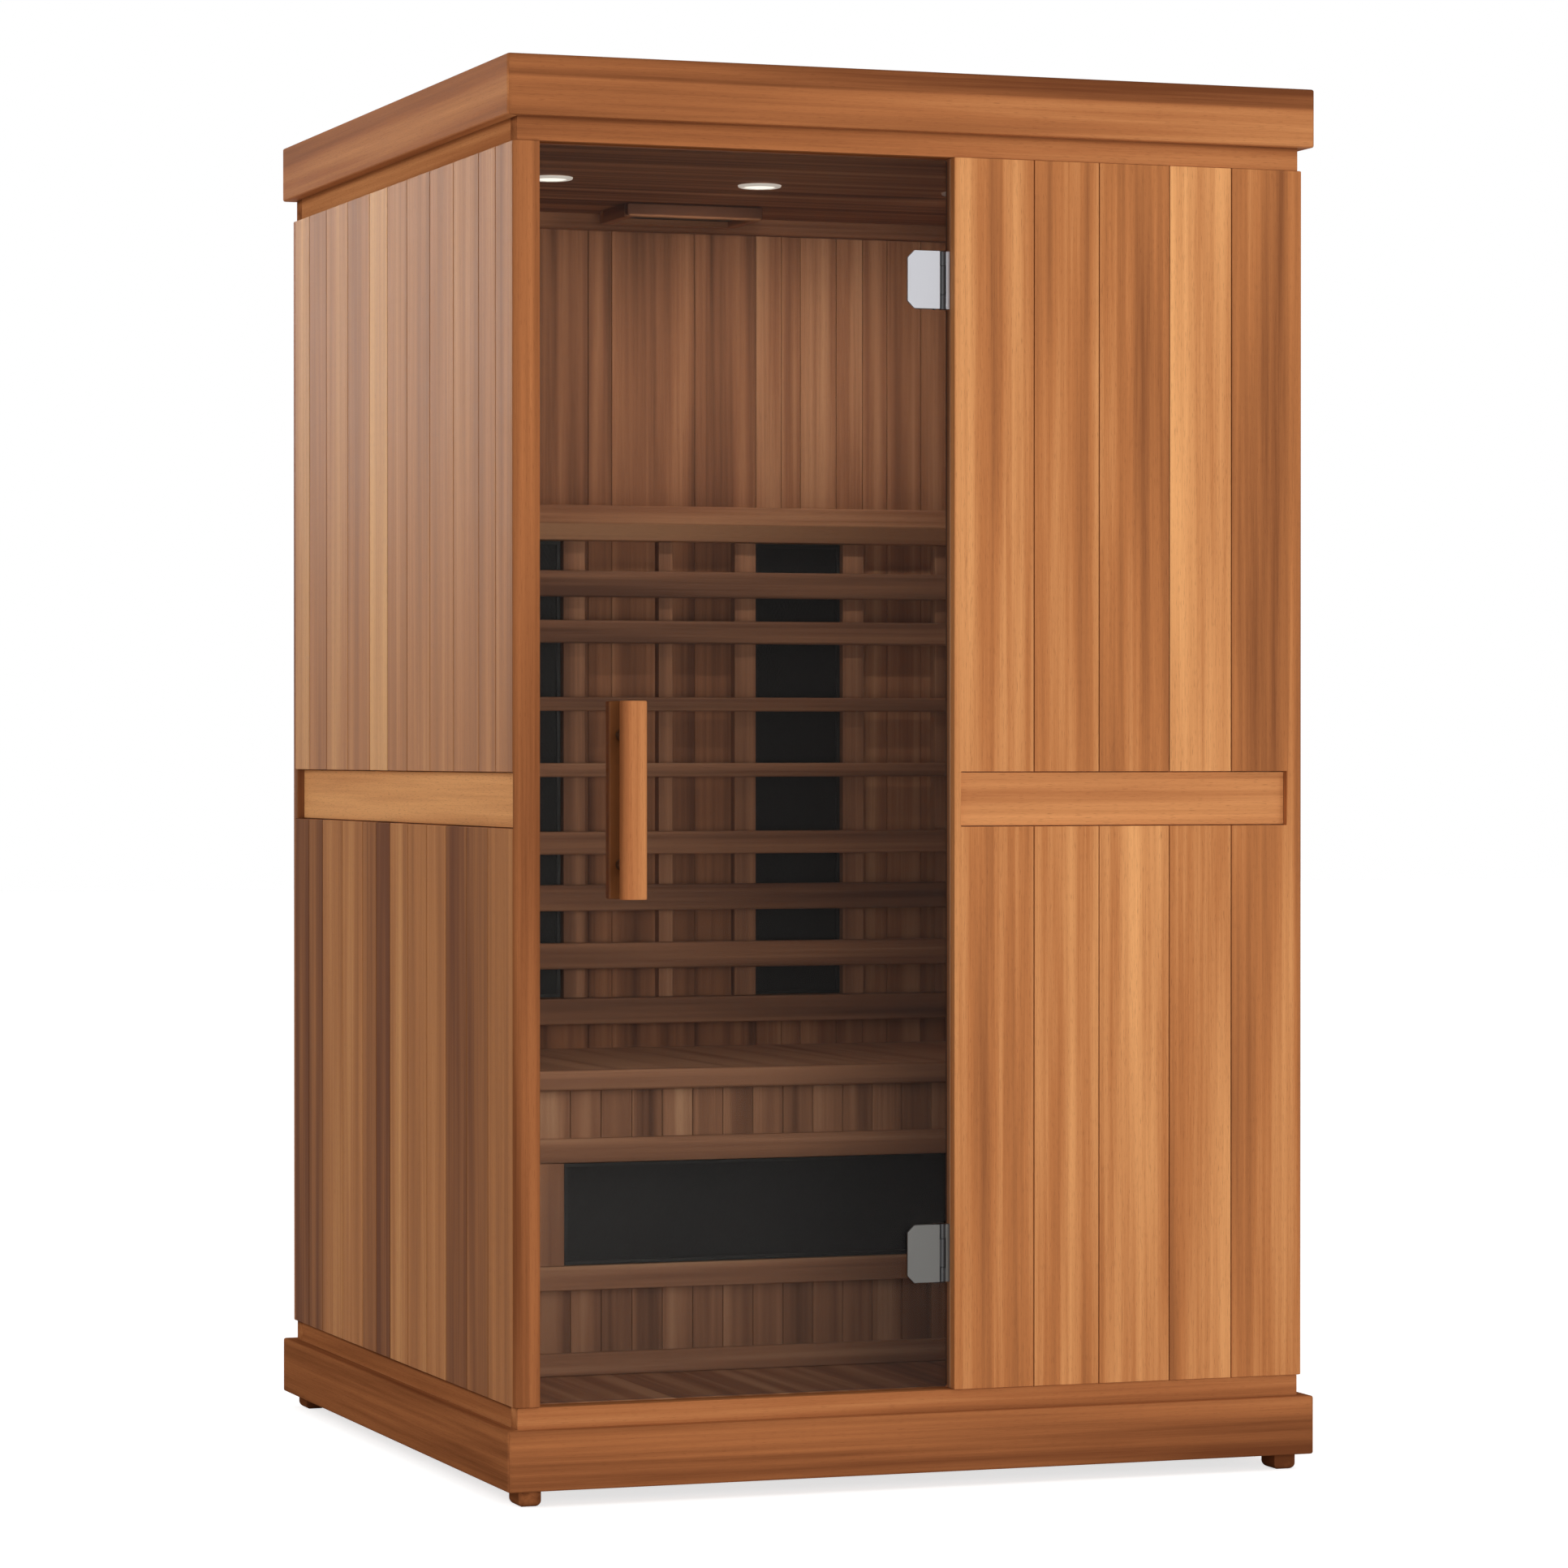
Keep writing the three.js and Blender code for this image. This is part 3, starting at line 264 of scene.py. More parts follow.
def new_material(name):
    """Material with a Principled shader, its node tree and that shader."""
    material = bpy.data.materials.new(name)
    material.use_nodes = True
    return material, material.node_tree, material.node_tree.nodes["Principled BSDF"]


def add_bump(tree, shader, height, strength, distance):
    bump = add_node(tree, "ShaderNodeBump", {"Height": height, "Strength": strength, "Distance": distance})
    set_inputs(tree, shader, {"Normal": bump.outputs[0]})


def finish_cedar(tree, shader, grain, tone, shades, contrast, gloss):
    dark, middle, pale = shades
    figure = add_node(tree, "ShaderNodeGroup",
                      {"Grain": grain, "Tone": tone, "Dark": dark, "Middle": middle, "Pale": pale,
                       "Contrast": contrast},
                      node_tree=cedar_figure)
    set_inputs(tree, shader, {"Base Color": figure.outputs["Colour"],
                              "Roughness": figure.outputs["Roughness"], "Specular IOR Level": gloss})
    add_bump(tree, shader, figure.outputs["Height"], 0.22, 0.6 * MM)


def board_cedar(name, shades, contrast, gloss):
    """Cedar for boards that carry their own grain coordinates and tone."""
    material, tree, shader = new_material(name)
    grain = add_node(tree, "ShaderNodeAttribute", attribute_name="grain")
    tone = add_node(tree, "ShaderNodeAttribute", attribute_name="tone")
    finish_cedar(tree, shader, grain.outputs["Vector"], tone.outputs["Fac"], shades, contrast, gloss)
    return material


def make_plywood():
    """Rotary-cut veneer: wide wandering figure along X."""
    material, tree, shader = new_material("roof_plywood")
    place = add_node(tree, "ShaderNodeTexCoord")
    finish_cedar(tree, shader, place.outputs["Object"], PLYWOOD_TONE, PLYWOOD_SHADES, contrast=0.35,
                 gloss=0.02)
    return material


def make_tinted_glass():
    """Bronze glass that lets light through to the inside."""
    material, tree, shader = new_material("tinted_glass")
    tint = colour(188, 186, 182)
    through_one_face = colour(244, 243, 241)
    faint_mirror = (0.12, 0.12, 0.12, 1.0)
    set_inputs(tree, shader, {"Base Color": tint, "Roughness": 0.0, "IOR": 1.48,
                              "Transmission Weight": 1.0, "Specular Tint": faint_mirror})
    path = add_node(tree, "ShaderNodeLightPath")
    lights_inside = math_node(tree, "MAXIMUM", path.outputs["Is Shadow Ray"], path.outputs["Is Diffuse Ray"])
    clear = add_node(tree, "ShaderNodeBsdfTransparent", {"Color": through_one_face})
    mixed = add_node(tree, "ShaderNodeMixShader",
                     {0: lights_inside, 1: shader.outputs[0], 2: clear.outputs[0]})
    set_inputs(tree, tree.nodes["Material Output"], {"Surface": mixed.outputs[0]})
    return material


def brushed_steel(name, base):
    """Steel brushed up and down."""
    material, tree, shader = new_material(name)
    place = add_node(tree, "ShaderNodeTexCoord")
    lines = add_node(tree, "ShaderNodeMapping",
                     {"Vector": place.outputs["Object"], "Scale": (2200, 2200, 30)})
    noise = add_node(tree, "ShaderNodeTexNoise", {"Vector": lines.outputs[0], "Scale": 1.0, "Detail": 2.0})
    rough = add_node(tree, "ShaderNodeMapRange",
                     {"Value": noise.outputs["Fac"], "To Min": 0.38, "To Max": 0.52})
    set_inputs(tree, shader, {"Base Color": base, "Metallic": 1.0, "Roughness": rough.outputs[0]})
    add_bump(tree, shader, noise.outputs["Fac"], 0.06, 0.1 * MM)
    return material


def plain_finish(name, base, rough_low, rough_high, speckle):
    """Paint or plastic with a fine uneven surface."""
    material, tree, shader = new_material(name)
    place = add_node(tree, "ShaderNodeTexCoord")
    noise = add_node(tree, "ShaderNodeTexNoise",
                     {"Vector": place.outputs["Object"], "Scale": speckle, "Detail": 3.0})
    rough = add_node(tree, "ShaderNodeMapRange",
                     {"Value": noise.outputs["Fac"], "To Min": rough_low, "To Max": rough_high})
    set_inputs(tree, shader, {"Base Color": base, "Roughness": rough.outputs[0]})
    add_bump(tree, shader, noise.outputs["Fac"], 0.08, 0.2 * MM)
    return material


def lit_plastic(name, strength):
    """White plastic that glows: the lit lens of a ceiling light, and a painted glow on the bezels."""
    material, tree, shader = new_material(name)
    set_inputs(tree, shader, {"Base Color": colour(240, 240, 236), "Roughness": 0.3,
                              "Emission Color": colour(255, 252, 244), "Emission Strength": strength})
    return material


wall_cedar = board_cedar("wall_cedar", WALL_SHADES, contrast=0.7, gloss=0.03)
oiled_cedar = board_cedar("oiled_cedar", SIDE_SHADES, contrast=0.45, gloss=0.03)
side_cedar = board_cedar("side_cedar", SIDE_SHADES, contrast=0.45, gloss=0.006)
trim_cedar = board_cedar("trim_cedar", TRIM_SHADES, contrast=0.65, gloss=0.0)
rubbed_cedar = board_cedar("rubbed_cedar", TRIM_SHADES, contrast=0.65, gloss=0.003)
belt_cedar = board_cedar("belt_cedar", WALL_SHADES, contrast=0.5, gloss=0.003)
inner_cedar = board_cedar("inner_cedar", INNER_SHADES, contrast=0.85, gloss=0.03)
# Painted light: greyer cedar for the bench, backrest and kick panel, in place of whiter light there
bench_cedar_painted_light = board_cedar("bench_cedar_painted_light", BENCH_PAINTED_LIGHT_SHADES, contrast=0.85, gloss=0.03)
roof_plywood = make_plywood()
tinted_glass = make_tinted_glass()
satin_steel = brushed_steel("satin_steel", colour(158, 158, 162))
# A darker copy of the satin steel for the lower hinge: painted shade
painted_shade_steel = brushed_steel("painted_shade_steel", colour(90, 89, 87))
black_mesh = plain_finish("black_mesh", colour(13, 13, 13), 0.42, 0.62, 900)
black_panel = plain_finish("black_panel", colour(7, 7, 7), 0.6, 0.8, 400)
white_plastic = plain_finish("white_plastic", colour(232, 232, 228), 0.3, 0.45, 700)
# Dark plastic for the touch panel and power supply; on the hinge knuckles and in the lamp box it is painted
# shade
dark_plastic = plain_finish("dark_plastic", colour(40, 40, 42), 0.42, 0.6, 800)
ground_edge = plain_finish("ground_edge", colour(74, 50, 36), 0.5, 0.65, 300)
screen_glass = plain_finish("screen_glass", colour(12, 13, 16), 0.06, 0.12, 60)
lit_lens = lit_plastic("lit_lens", 2.0)
# Painted light: the bezels round the lit lenses glow, though they are no lamps
painted_glow_bezel = lit_plastic("painted_glow_bezel", 0.6)


# Modelling


def select_only(*pieces):
    bpy.ops.object.select_all(action="DESELECT")
    for piece in pieces:
        piece.select_set(True)
    bpy.context.view_layer.objects.active = pieces[0]


def settle_place():
    """Puts the selected object's place, turn and size into its mesh."""
    bpy.ops.object.transform_apply(location=True, rotation=True, scale=True)


def block(name, low, high):
    """Block between two corners, with its place in its mesh."""
    low, high = Vector(low), Vector(high)
    bpy.ops.object.select_all(action="DESELECT")
    bpy.ops.mesh.primitive_cube_add(size=1, location=(low + high) / 2)
    piece = bpy.context.object
    piece.name = name
    piece.scale = high - low
    settle_place()
    return piece


def round_bar(name, start, end, radius, sides=32):
    """Round bar between two points, with its place in its mesh."""
    start, end = Vector(start), Vector(end)
    bpy.ops.object.select_all(action="DESELECT")
    bpy.ops.mesh.primitive_cylinder_add(
        vertices=sides, radius=radius, depth=(end - start).length, location=(start + end) / 2,
        rotation=(end - start).to_track_quat("Z", "Y").to_euler())
    piece = bpy.context.object
    piece.name = name
    settle_place()
    return piece


def apply_modifier(piece, kind, **settings):
    select_only(piece)
    modifier = piece.modifiers.new(kind.lower(), kind)
    for name, value in settings.items():
        setattr(modifier, name, value)
    bpy.ops.object.modifier_apply(modifier=modifier.name)


def cut_out(piece, low, high):
    """Cuts a block-shaped recess out of a piece."""
    cutter = block("cutter", low, high)
    apply_modifier(piece, "BOOLEAN", operation="DIFFERENCE", solver="EXACT", object=cutter)
    bpy.data.objects.remove(cutter)


def shade_smooth(piece, angle=SHARP):
    select_only(piece)
    bpy.ops.object.shade_smooth_by_angle(angle=angle)


def round_edges(piece, width, segments=2):
    """Rounds every sharp edge, and shades the piece smooth with its flat faces kept flat."""
    apply_modifier(piece, "BEVEL", width=width, segments=segments, limit_method="ANGLE",
                   angle_limit=SHARP, use_clamp_overlap=True)
    shade_smooth(piece)
    apply_modifier(piece, "WEIGHTED_NORMAL", mode="FACE_AREA", weight=80, keep_sharp=True)


def near(value, target):
    return abs(value - target) < 0.1 * MM


def edges_at(along=None, **place):
    """Test for edges with both ends at these coordinates, and along one axis if it is named."""
    across = [axis for axis in "xyz" if along and axis != along]

    def wanted(first, second):
        placed = all(near(getattr(end, axis), value) for end in (first, second)
                     for axis, value in place.items())
        return placed and all(near(getattr(first, axis), getattr(second, axis)) for axis in across)
    return wanted


def bevel_edges(piece, wanted, width, segments):
    """Bevels the edges whose two ends pass a test."""
    select_only(piece)
    bpy.ops.object.mode_set(mode="EDIT")
    bpy.ops.mesh.select_mode(type="EDGE")
    bpy.ops.mesh.select_all(action="DESELECT")
    bpy.ops.object.mode_set(mode="OBJECT")
    points = piece.data.vertices
    for edge in piece.data.edges:
        edge.select = wanted(points[edge.vertices[0]].co, points[edge.vertices[1]].co)
    bpy.ops.object.mode_set(mode="EDIT")
    bpy.ops.mesh.bevel(offset=width, segments=segments, affect="EDGES", profile=0.5)
    bpy.ops.object.mode_set(mode="OBJECT")


def slice_piece(piece, point, normal, **settings):
    select_only(piece)
    bpy.ops.object.mode_set(mode="EDIT")
    bpy.ops.mesh.select_all(action="SELECT")
    bpy.ops.mesh.bisect(plane_co=point, plane_no=normal, **settings)
    bpy.ops.object.mode_set(mode="OBJECT")


def cut_off(piece, point, normal):
    """Cuts off what lies beyond a plane, and closes the cut."""
    slice_piece(piece, point, normal, use_fill=True, clear_outer=True)


def add_loop(piece, height):
    """Runs an edge loop round a piece at one height."""
    slice_piece(piece, (0, 0, height), (0, 0, 1))


def join(name, pieces):
    select_only(*pieces)
    if len(pieces) > 1:
        bpy.ops.object.join()
    joined = bpy.context.object
    joined.name = name
    joined.data.name = name
    return joined


def place_piece(piece, material, body="cabin", replaced=()):
    """Gives a finished piece its material, its body and the nodes it stands for."""
    piece.data.materials.clear()
    piece.data.materials.append(material)
    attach(piece, body)
    if replaced:
        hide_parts(*replaced)


# Boards


def lay_grain(piece, axis, tone, tone_below=None, split=0.0):
    """Gives a board grain coordinates that start at a place of its own, and its tone."""
    mesh = piece.data
    place = np.zeros(len(mesh.vertices) * 3)
    mesh.vertices.foreach_get("co", place)
    place = place.reshape(-1, 3)
    shift = [draw.uniform(-GRAIN_SHIFT, GRAIN_SHIFT) for _ in range(3)]
    grain = place[:, GRAIN[axis]] + shift
    tones = np.full(len(place), tone)
    if tone_below is not None:
        tones[place[:, 2] < split] = tone_below
    mesh.attributes.new("grain", "FLOAT_VECTOR", "POINT").data.foreach_set("vector", grain.ravel())
    mesh.attributes.new("tone", "FLOAT", "POINT").data.foreach_set("value", tones)
    return piece


def plank(name, low, high, axis, tone, edge=BOARD_EDGE, segments=2):
    """Board with rounded edges and its own grain."""
    piece = block(name, low, high)
    round_edges(piece, edge, segments)
    return lay_grain(piece, axis, tone)


def mixed_tones(count, limits):
    return [draw.uniform(*limits) for _ in range(count)]


def seams_of(start, end, widths):
    """Ends and seams of boards of these widths, fitted between start and end."""
    total = sum(widths)
    seams = [start]
    for width in widths:
        seams.append(seams[-1] + (end - start) * width / total)
    return seams


def board_spans(seams, gap):
    """Start and end of each board, with a gap at the seams and none at the two outer ends."""
    last = len(seams) - 2
    spans = []
    for i in range(last + 1):
        start = seams[i] + (gap / 2 if i > 0 else 0)
        end = seams[i + 1] - (gap / 2 if i < last else 0)
        spans.append((start, end))
    return spans


def lay_boards(name, low, high, across, seams, axis, tones, edge=BOARD_EDGE, gap=BOARD_GAP):
    """Boards side by side along one axis, split at the seams."""
    boards = []
    for i, (start, end) in enumerate(board_spans(seams, gap)):
        first, last = list(low), list(high)
        first[across] = start
        last[across] = end
        boards.append(plank(f"{name}_{i}", first, last, axis, tones[i], edge))
    return boards


def board_over(node, name, finish, across, axis, limits, width=INNER_BOARD, edge=BOARD_EDGE):
    """Fills a node's box with boards of about one width, in tones drawn between two limits."""
    low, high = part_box(node)
    count = max(1, round((high[across] - low[across]) / width))
    seams = seams_of(low[across], high[across], [1] * count)
    boards = lay_boards(name, low, high, across, seams, axis, mixed_tones(len(seams), limits), edge)
    place_piece(join(f"{name}_boards", boards), finish, replaced=[node])


def bars_around(low, high, columns, rows, rise):
    """Corners of the four bars round a hole: the two along X, below and above it, then the two beside it.

    The rows are heights on the Z axis where rise is 2, and places on the Y axis where it is 1.
    """
    left, right = columns
    bottom, top = rows

    def moved(corner, level, x=None):
        point = list(corner)
        point[rise] = level
        if x is not None:
            point[0] = x
        return point

    return [
        (low, moved(high, bottom)),
        (moved(low, top), high),
        (moved(low, bottom), moved(high, top, left)),
        (moved(low, bottom, right), moved(high, top)),
    ]


# Camera and light

CAMERA_PLACE = (-2.6359, -7.4000, 1.0180)
CAMERA_LENS = 121.66
CAMERA_SENSOR = 36
CAMERA_DIP = math.radians(0.3686)
CAMERA_TURN = math.radians(19.711)
STUDIO_LAMP = 2.2
DAYLIGHT = (1, 1, 1)
WARM_WHITE = (1.0, 0.96, 0.90)
AMBIENT = 0.36
FLOOR_SIZE = 60
FLOOR_LIFT = 0.7


def add_camera():
    """The photograph's viewpoint: low, in front of the cabin and well to its left."""
    data = bpy.data.cameras.new("camera")
    data.lens = CAMERA_LENS
    data.sensor_width = CAMERA_SENSOR
    camera = bpy.data.objects.new("camera", data)
    camera.location = CAMERA_PLACE
    camera.rotation_euler = (math.pi / 2 - CAMERA_DIP, 0, -CAMERA_TURN)
    bpy.context.scene.collection.objects.link(camera)
    bpy.context.scene.camera = camera


def add_soft_light(name, place, aim, size, watts, tint=DAYLIGHT):
    data = bpy.data.lights.new(name, "AREA")
    data.shape = "SQUARE"
    data.size = size
    data.energy = watts
    data.color = tint
    lamp = bpy.data.objects.new(name, data)
    lamp.location = place
    lamp.rotation_euler = (Vector(aim) - Vector(place)).to_track_quat("-Z", "Y").to_euler()
    bpy.context.scene.collection.objects.link(lamp)
    return lamp


def add_lights():
    """Three studio lamps, a sheen on the left wall, and the light that the glass lets in."""
    add_soft_light("key", (3.2, -4.6, 4.4), (0.1, -0.4, 0.95), STUDIO_LAMP, 92)
    add_soft_light("front", (-0.7, -5.8, 1.0), (-0.2, 0.0, 0.5), STUDIO_LAMP, 124)
    add_soft_light("fill", (-5.3, 0.0, 3.6), (-0.5, 0.0, 1.1), STUDIO_LAMP, 82)
    sheen = add_soft_light("sheen", (-2.3, 3.8, 2.6), (-0.5, -0.2, 1.6), STUDIO_LAMP, 84)
    sheen.visible_diffuse = False
    inside = add_soft_light("inside", (-0.25, -0.5, 0.95), (-0.25, 0.5, 0.95), 0.4, 2.4)
    inside.data.shape = "RECTANGLE"
    inside.data.size_y = 0.9
    inside.visible_camera = False
    inside.visible_glossy = False
    inside.visible_transmission = False


def seen_directly(tree):
    """1 for rays of the camera, of mirrors and of glass, 0 for light."""
    path = add_node(tree, "ShaderNodeLightPath")
    seen = math_node(tree, "MAXIMUM", path.outputs["Is Camera Ray"], path.outputs["Is Glossy Ray"])
    return math_node(tree, "MAXIMUM", seen, path.outputs["Is Transmission Ray"])


def add_world():
    """White to the camera and in reflections, a plain soft grey as light."""
    world = bpy.data.worlds.new("studio")
    bpy.context.scene.world = world
    world.use_nodes = True
    tree = world.node_tree
    light = add_node(tree, "ShaderNodeBackground", {"Color": WHITE, "Strength": AMBIENT})
    backdrop = add_node(tree, "ShaderNodeBackground", {"Color": WHITE, "Strength": 1.0})
    mixed = add_node(tree, "ShaderNodeMixShader",
                     {0: seen_directly(tree), 1: light.outputs[0], 2: backdrop.outputs[0]})
    set_inputs(tree, tree.nodes["World Output"], {"Surface": mixed.outputs[0]})


def add_floor():
    """Pale floor that keeps the cabin's shadow."""
    material, tree, shader = new_material("pale_floor")
    place = add_node(tree, "ShaderNodeTexCoord")
    noise = add_node(tree, "ShaderNodeTexNoise", {"Vector": place.outputs["Object"], "Scale": 3.0})
    shade = mix_colour(tree, noise.outputs["Fac"], colour(236, 236, 235), colour(230, 230, 229))
    lift = math_node(tree, "MULTIPLY", seen_directly(tree), FLOOR_LIFT)
    set_inputs(tree, shader, {"Base Color": shade, "Roughness": 0.9, "Emission Color": WHITE,
                              "Emission Strength": lift})
    bpy.ops.object.select_all(action="DESELECT")
    bpy.ops.mesh.primitive_plane_add(size=FLOOR_SIZE)
    floor = bpy.context.object
    floor.name = "floor"
    floor.data.materials.append(material)


# Walls

LEDGER_HEIGHT = 40 * MM
RIGHT_THROUGH = 1


def build_side_wall(name, upper_tones, lower_tones, upper_finish, lower_finish):
    """Upper and lower boards, the short stile behind the recess, and the belt rail in it."""
    low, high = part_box(f"{name}_cladding")
    rail_low, rail_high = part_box(f"{name}_belt_rail")
    belt_low = rail_low.z - BELT_ROOM
    belt_high = rail_high.z + BELT_ROOM
    seams = seams_of(low.y, high.y, SIDE_UPPER_WIDTHS)
    upper = lay_boards(f"{name}_upper", (low.x, low.y, belt_high), high, 1, seams, "Z", upper_tones,
                       SIDE_EDGE, SIDE_GAP)
    place_piece(join(f"{name}_upper_boards", upper), upper_finish,
                replaced=[f"{name}_cladding"])
    seams = seams_of(low.y, high.y, SIDE_LOWER_WIDTHS)
    lower = lay_boards(f"{name}_lower", low, (high.x, high.y, belt_low), 1, seams, "Z", lower_tones,
                       SIDE_EDGE, SIDE_GAP)
    lower.append(plank(f"{name}_stile", (low.x, rail_high.y + FIT, belt_low), (high.x, high.y, belt_high),
                       "Z", lower_tones[-1]))
    place_piece(join(f"{name}_lower_boards", lower), lower_finish)
    rail = plank(f"{name}_belt", rail_low, rail_high, "Y", BELT_TONE)
    place_piece(rail, belt_cedar, replaced=[f"{name}_belt_rail"])


def build_front_wall():
    """Boards of the front panel, cut for the belt recess, with the rail in it, and the door post."""
    low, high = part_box("front_cladding")
    rail_low, rail_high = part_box("front_belt_rail")
    belt_low = rail_low.z - BELT_ROOM
    belt_high = rail_high.z + BELT_ROOM
    recess = ((rail_low.x - FIT, low.y - RIGHT_THROUGH, belt_low),
              (rail_high.x + FIT, high.y + RIGHT_THROUGH, belt_high))
    spans = board_spans(seams_of(low.x, high.x, FRONT_WIDTHS), FRONT_GAP)
    boards = []
    for i, (start, end) in enumerate(spans):
        board = block(f"front_board_{i}", (start, low.y, low.z), (end, high.y, high.z))
        if i == len(spans) - 1:
            bevel_edges(board, edges_at(x=high.x, y=low.y), WALL_CORNER, 5)
        cut_out(board, *recess)
        round_edges(board, BOARD_EDGE)
        lay_grain(board, "Z", FRONT_UPPER_TONES[i], FRONT_LOWER_TONES[i], (belt_low + belt_high) / 2)
        boards.append(board)
    place_piece(join("front_wall_boards", boards), wall_cedar, replaced=["front_cladding"])
    rail = plank("front_belt", rail_low, rail_high, "X", FRONT_BELT_TONE)
    place_piece(rail, trim_cedar, replaced=["front_belt_rail"])

    low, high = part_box("door_post")
    post = block("post", low, high)
    bevel_edges(post, edges_at(x=low.x, y=low.y), POST_CORNER, 6)
    round_edges(post, FRAME_EDGE, 3)
    lay_grain(post, "Z", POST_TONE)
    place_piece(post, trim_cedar, replaced=["door_post"])


def build_rear_wall():
    """Boards from corner to corner, with the two outer corners rounded."""
    low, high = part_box("rear_cladding")
    spans = board_spans(seams_of(low.x, high.x, SIDE_UPPER_WIDTHS), FRONT_GAP)
    corners = {0: low.x, len(spans) - 1: high.x}
    boards = []
    for i, (start, end) in enumerate(spans):
        board = block(f"rear_board_{i}", (start, low.y, low.z), (end, high.y, high.z))
        if i in corners:
            bevel_edges(board, edges_at(x=corners[i], y=high.y), WALL_CORNER, 5)
        round_edges(board, BOARD_EDGE)
        boards.append(lay_grain(board, "Z", draw.uniform(*REAR_WALL_RANGE)))
    place_piece(join("rear_wall_boards", boards), wall_cedar, replaced=["rear_cladding"])


def build_linings():
    """Inner boards of the four walls and of the floor, and the ledger that carries the bench."""
    for node, across in (("left_lining", 1), ("right_lining", 1), ("front_lining", 0)):
        board_over(node, node, inner_cedar, across, "Z", LINING_RANGE)

    low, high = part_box("rear_lining")
    seat_low, seat_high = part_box("bench_seat")
    face = seat_high.y + FIT
    seams = seams_of(low.x, high.x, REAR_LINING_WIDTHS)
    boards = lay_boards("rear_lining", (low.x, face, low.z), high, 0, seams, "Z", REAR_LINING_TONES)
    boards.append(plank("bench_ledger", (low.x, low.y, seat_low.z - LEDGER_HEIGHT),
                        (high.x, face, seat_low.z - FIT), "X", LEDGER_TONE))
    place_piece(join("rear_lining_boards", boards), inner_cedar, replaced=["rear_lining"])

    board_over("floor_deck", "floor", inner_cedar, 0, "Y", FLOOR_RANGE)


# Frame, trim and feet

JOIST_WIDTH = 45 * MM
JOIST_DARKER = 0.1
# Painted shadow on frame rails under the boards and fascia that overhang them: how much darker, and how tall
# its fade is
PAINTED_SHADOW_DARKER = 0.4
PAINTED_SHADOW_FADE = 6 * MM
PLINTH_TONE = 0.58
PLINTH_LEFT_TONE = 0.50
FRIEZE_TONE = 0.38
FRIEZE_LEFT_TONE = 0.62


def build_trim(prefix, material, tones, upper_share):
    """Four mitred boards, one on each side, with rounded corners and outer edges."""
    first_corner = (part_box(f"{prefix}_left")[0].x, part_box(f"{prefix}_front")[0].y)
    last_corner = (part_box(f"{prefix}_right")[1].x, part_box(f"{prefix}_rear")[1].y)
    for side in ("front", "rear", "left", "right"):
        node = f"{prefix}_{side}"
        low, high = (corner.copy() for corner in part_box(node))
        along = 0 if side in ("front", "rear") else 1
        across = 1 - along
        low[along] = first_corner[along]
        high[along] = last_corner[along]
        outward = -1 if side in ("front", "left") else 1
        face = (low if outward < 0 else high)[across]

        def at_face(first, second):
            return near(first.z, second.z) and all(abs(end[across] - face) < CORNER_DEPTH
                                                   for end in (first, second))

        board = block(node, low, high)
        bevel_edges(board, edges_at(along="z", **{"xy"[across]: face}), TRIM_CORNER, 7)
        for end in (-1, 1):
            point = [0, 0, 0]
            point[along] = (high if end > 0 else low)[along] - end * MITRE_GAP
            point[across] = face
            normal = [0, 0, 0]
            normal[along] = end
            normal[across] = -outward
            cut_off(board, point, normal)
        bevel_edges(board, at_face, TRIM_EDGE, 4)
        change = high.z - (high.z - low.z) * upper_share
        add_loop(board, change + TRIM_FADE)
        add_loop(board, change - TRIM_FADE)
        round_edges(board, FINE_EDGE)
        upper_tone, lower_tone = tones[side]
        lay_grain(board, "XY"[along], upper_tone, lower_tone, change)
        place_piece(board, material, replaced=[node])


def ring_rail(low, high, axis, tone, painted_shadow_edge):
    """Rail of a frame, with a painted shadow that darkens it above a given height, if it has one."""
    rail = block("rail", low, high)
    if painted_shadow_edge is None:
        round_edges(rail, RAIL_EDGE)
        return lay_grain(rail, axis, tone)
    # Painted shadow: darker over a short fade up to the given height, and above it
    add_loop(rail, painted_shadow_edge)
    add_loop(rail, painted_shadow_edge - PAINTED_SHADOW_FADE)
    round_edges(rail, RAIL_EDGE)
    return lay_grain(rail, axis, tone - PAINTED_SHADOW_DARKER, tone, painted_shadow_edge - PAINTED_SHADOW_FADE / 2)


def build_ring(node, name, joists, joist_low, joist_high, tone, left_tone, painted_shadow_edge, front_painted_shadow_edge):
    """Rails of a rectangular frame, with joists across it."""
    low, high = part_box(node)
    inner_low, inner_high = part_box("floor_deck")
    columns = (inner_low.x - FIT, inner_high.x + FIT)
    rows = (inner_low.y - FIT, inner_high.y + FIT)
    front, rear, left, right = bars_around(low, high, columns, rows, 1)
    pieces = [
        ring_rail(*front, "X", tone, front_painted_shadow_edge),
        ring_rail(*rear, "X", tone, painted_shadow_edge),
        ring_rail(*left, "Y", left_tone, painted_shadow_edge),
        ring_rail(*right, "Y", tone, painted_shadow_edge),
    ]
    bay = (rows[1] - rows[0]) / (joists + 1)
    for i in range(joists):
        middle = rows[0] + bay * (i + 1)
        pieces.append(plank("joist", (columns[0], middle - JOIST_WIDTH / 2, joist_low),
                            (columns[1], middle + JOIST_WIDTH / 2, joist_high), "X", tone - JOIST_DARKER,
                            RAIL_EDGE))
    place_piece(join(name, pieces), trim_cedar, replaced=[node])


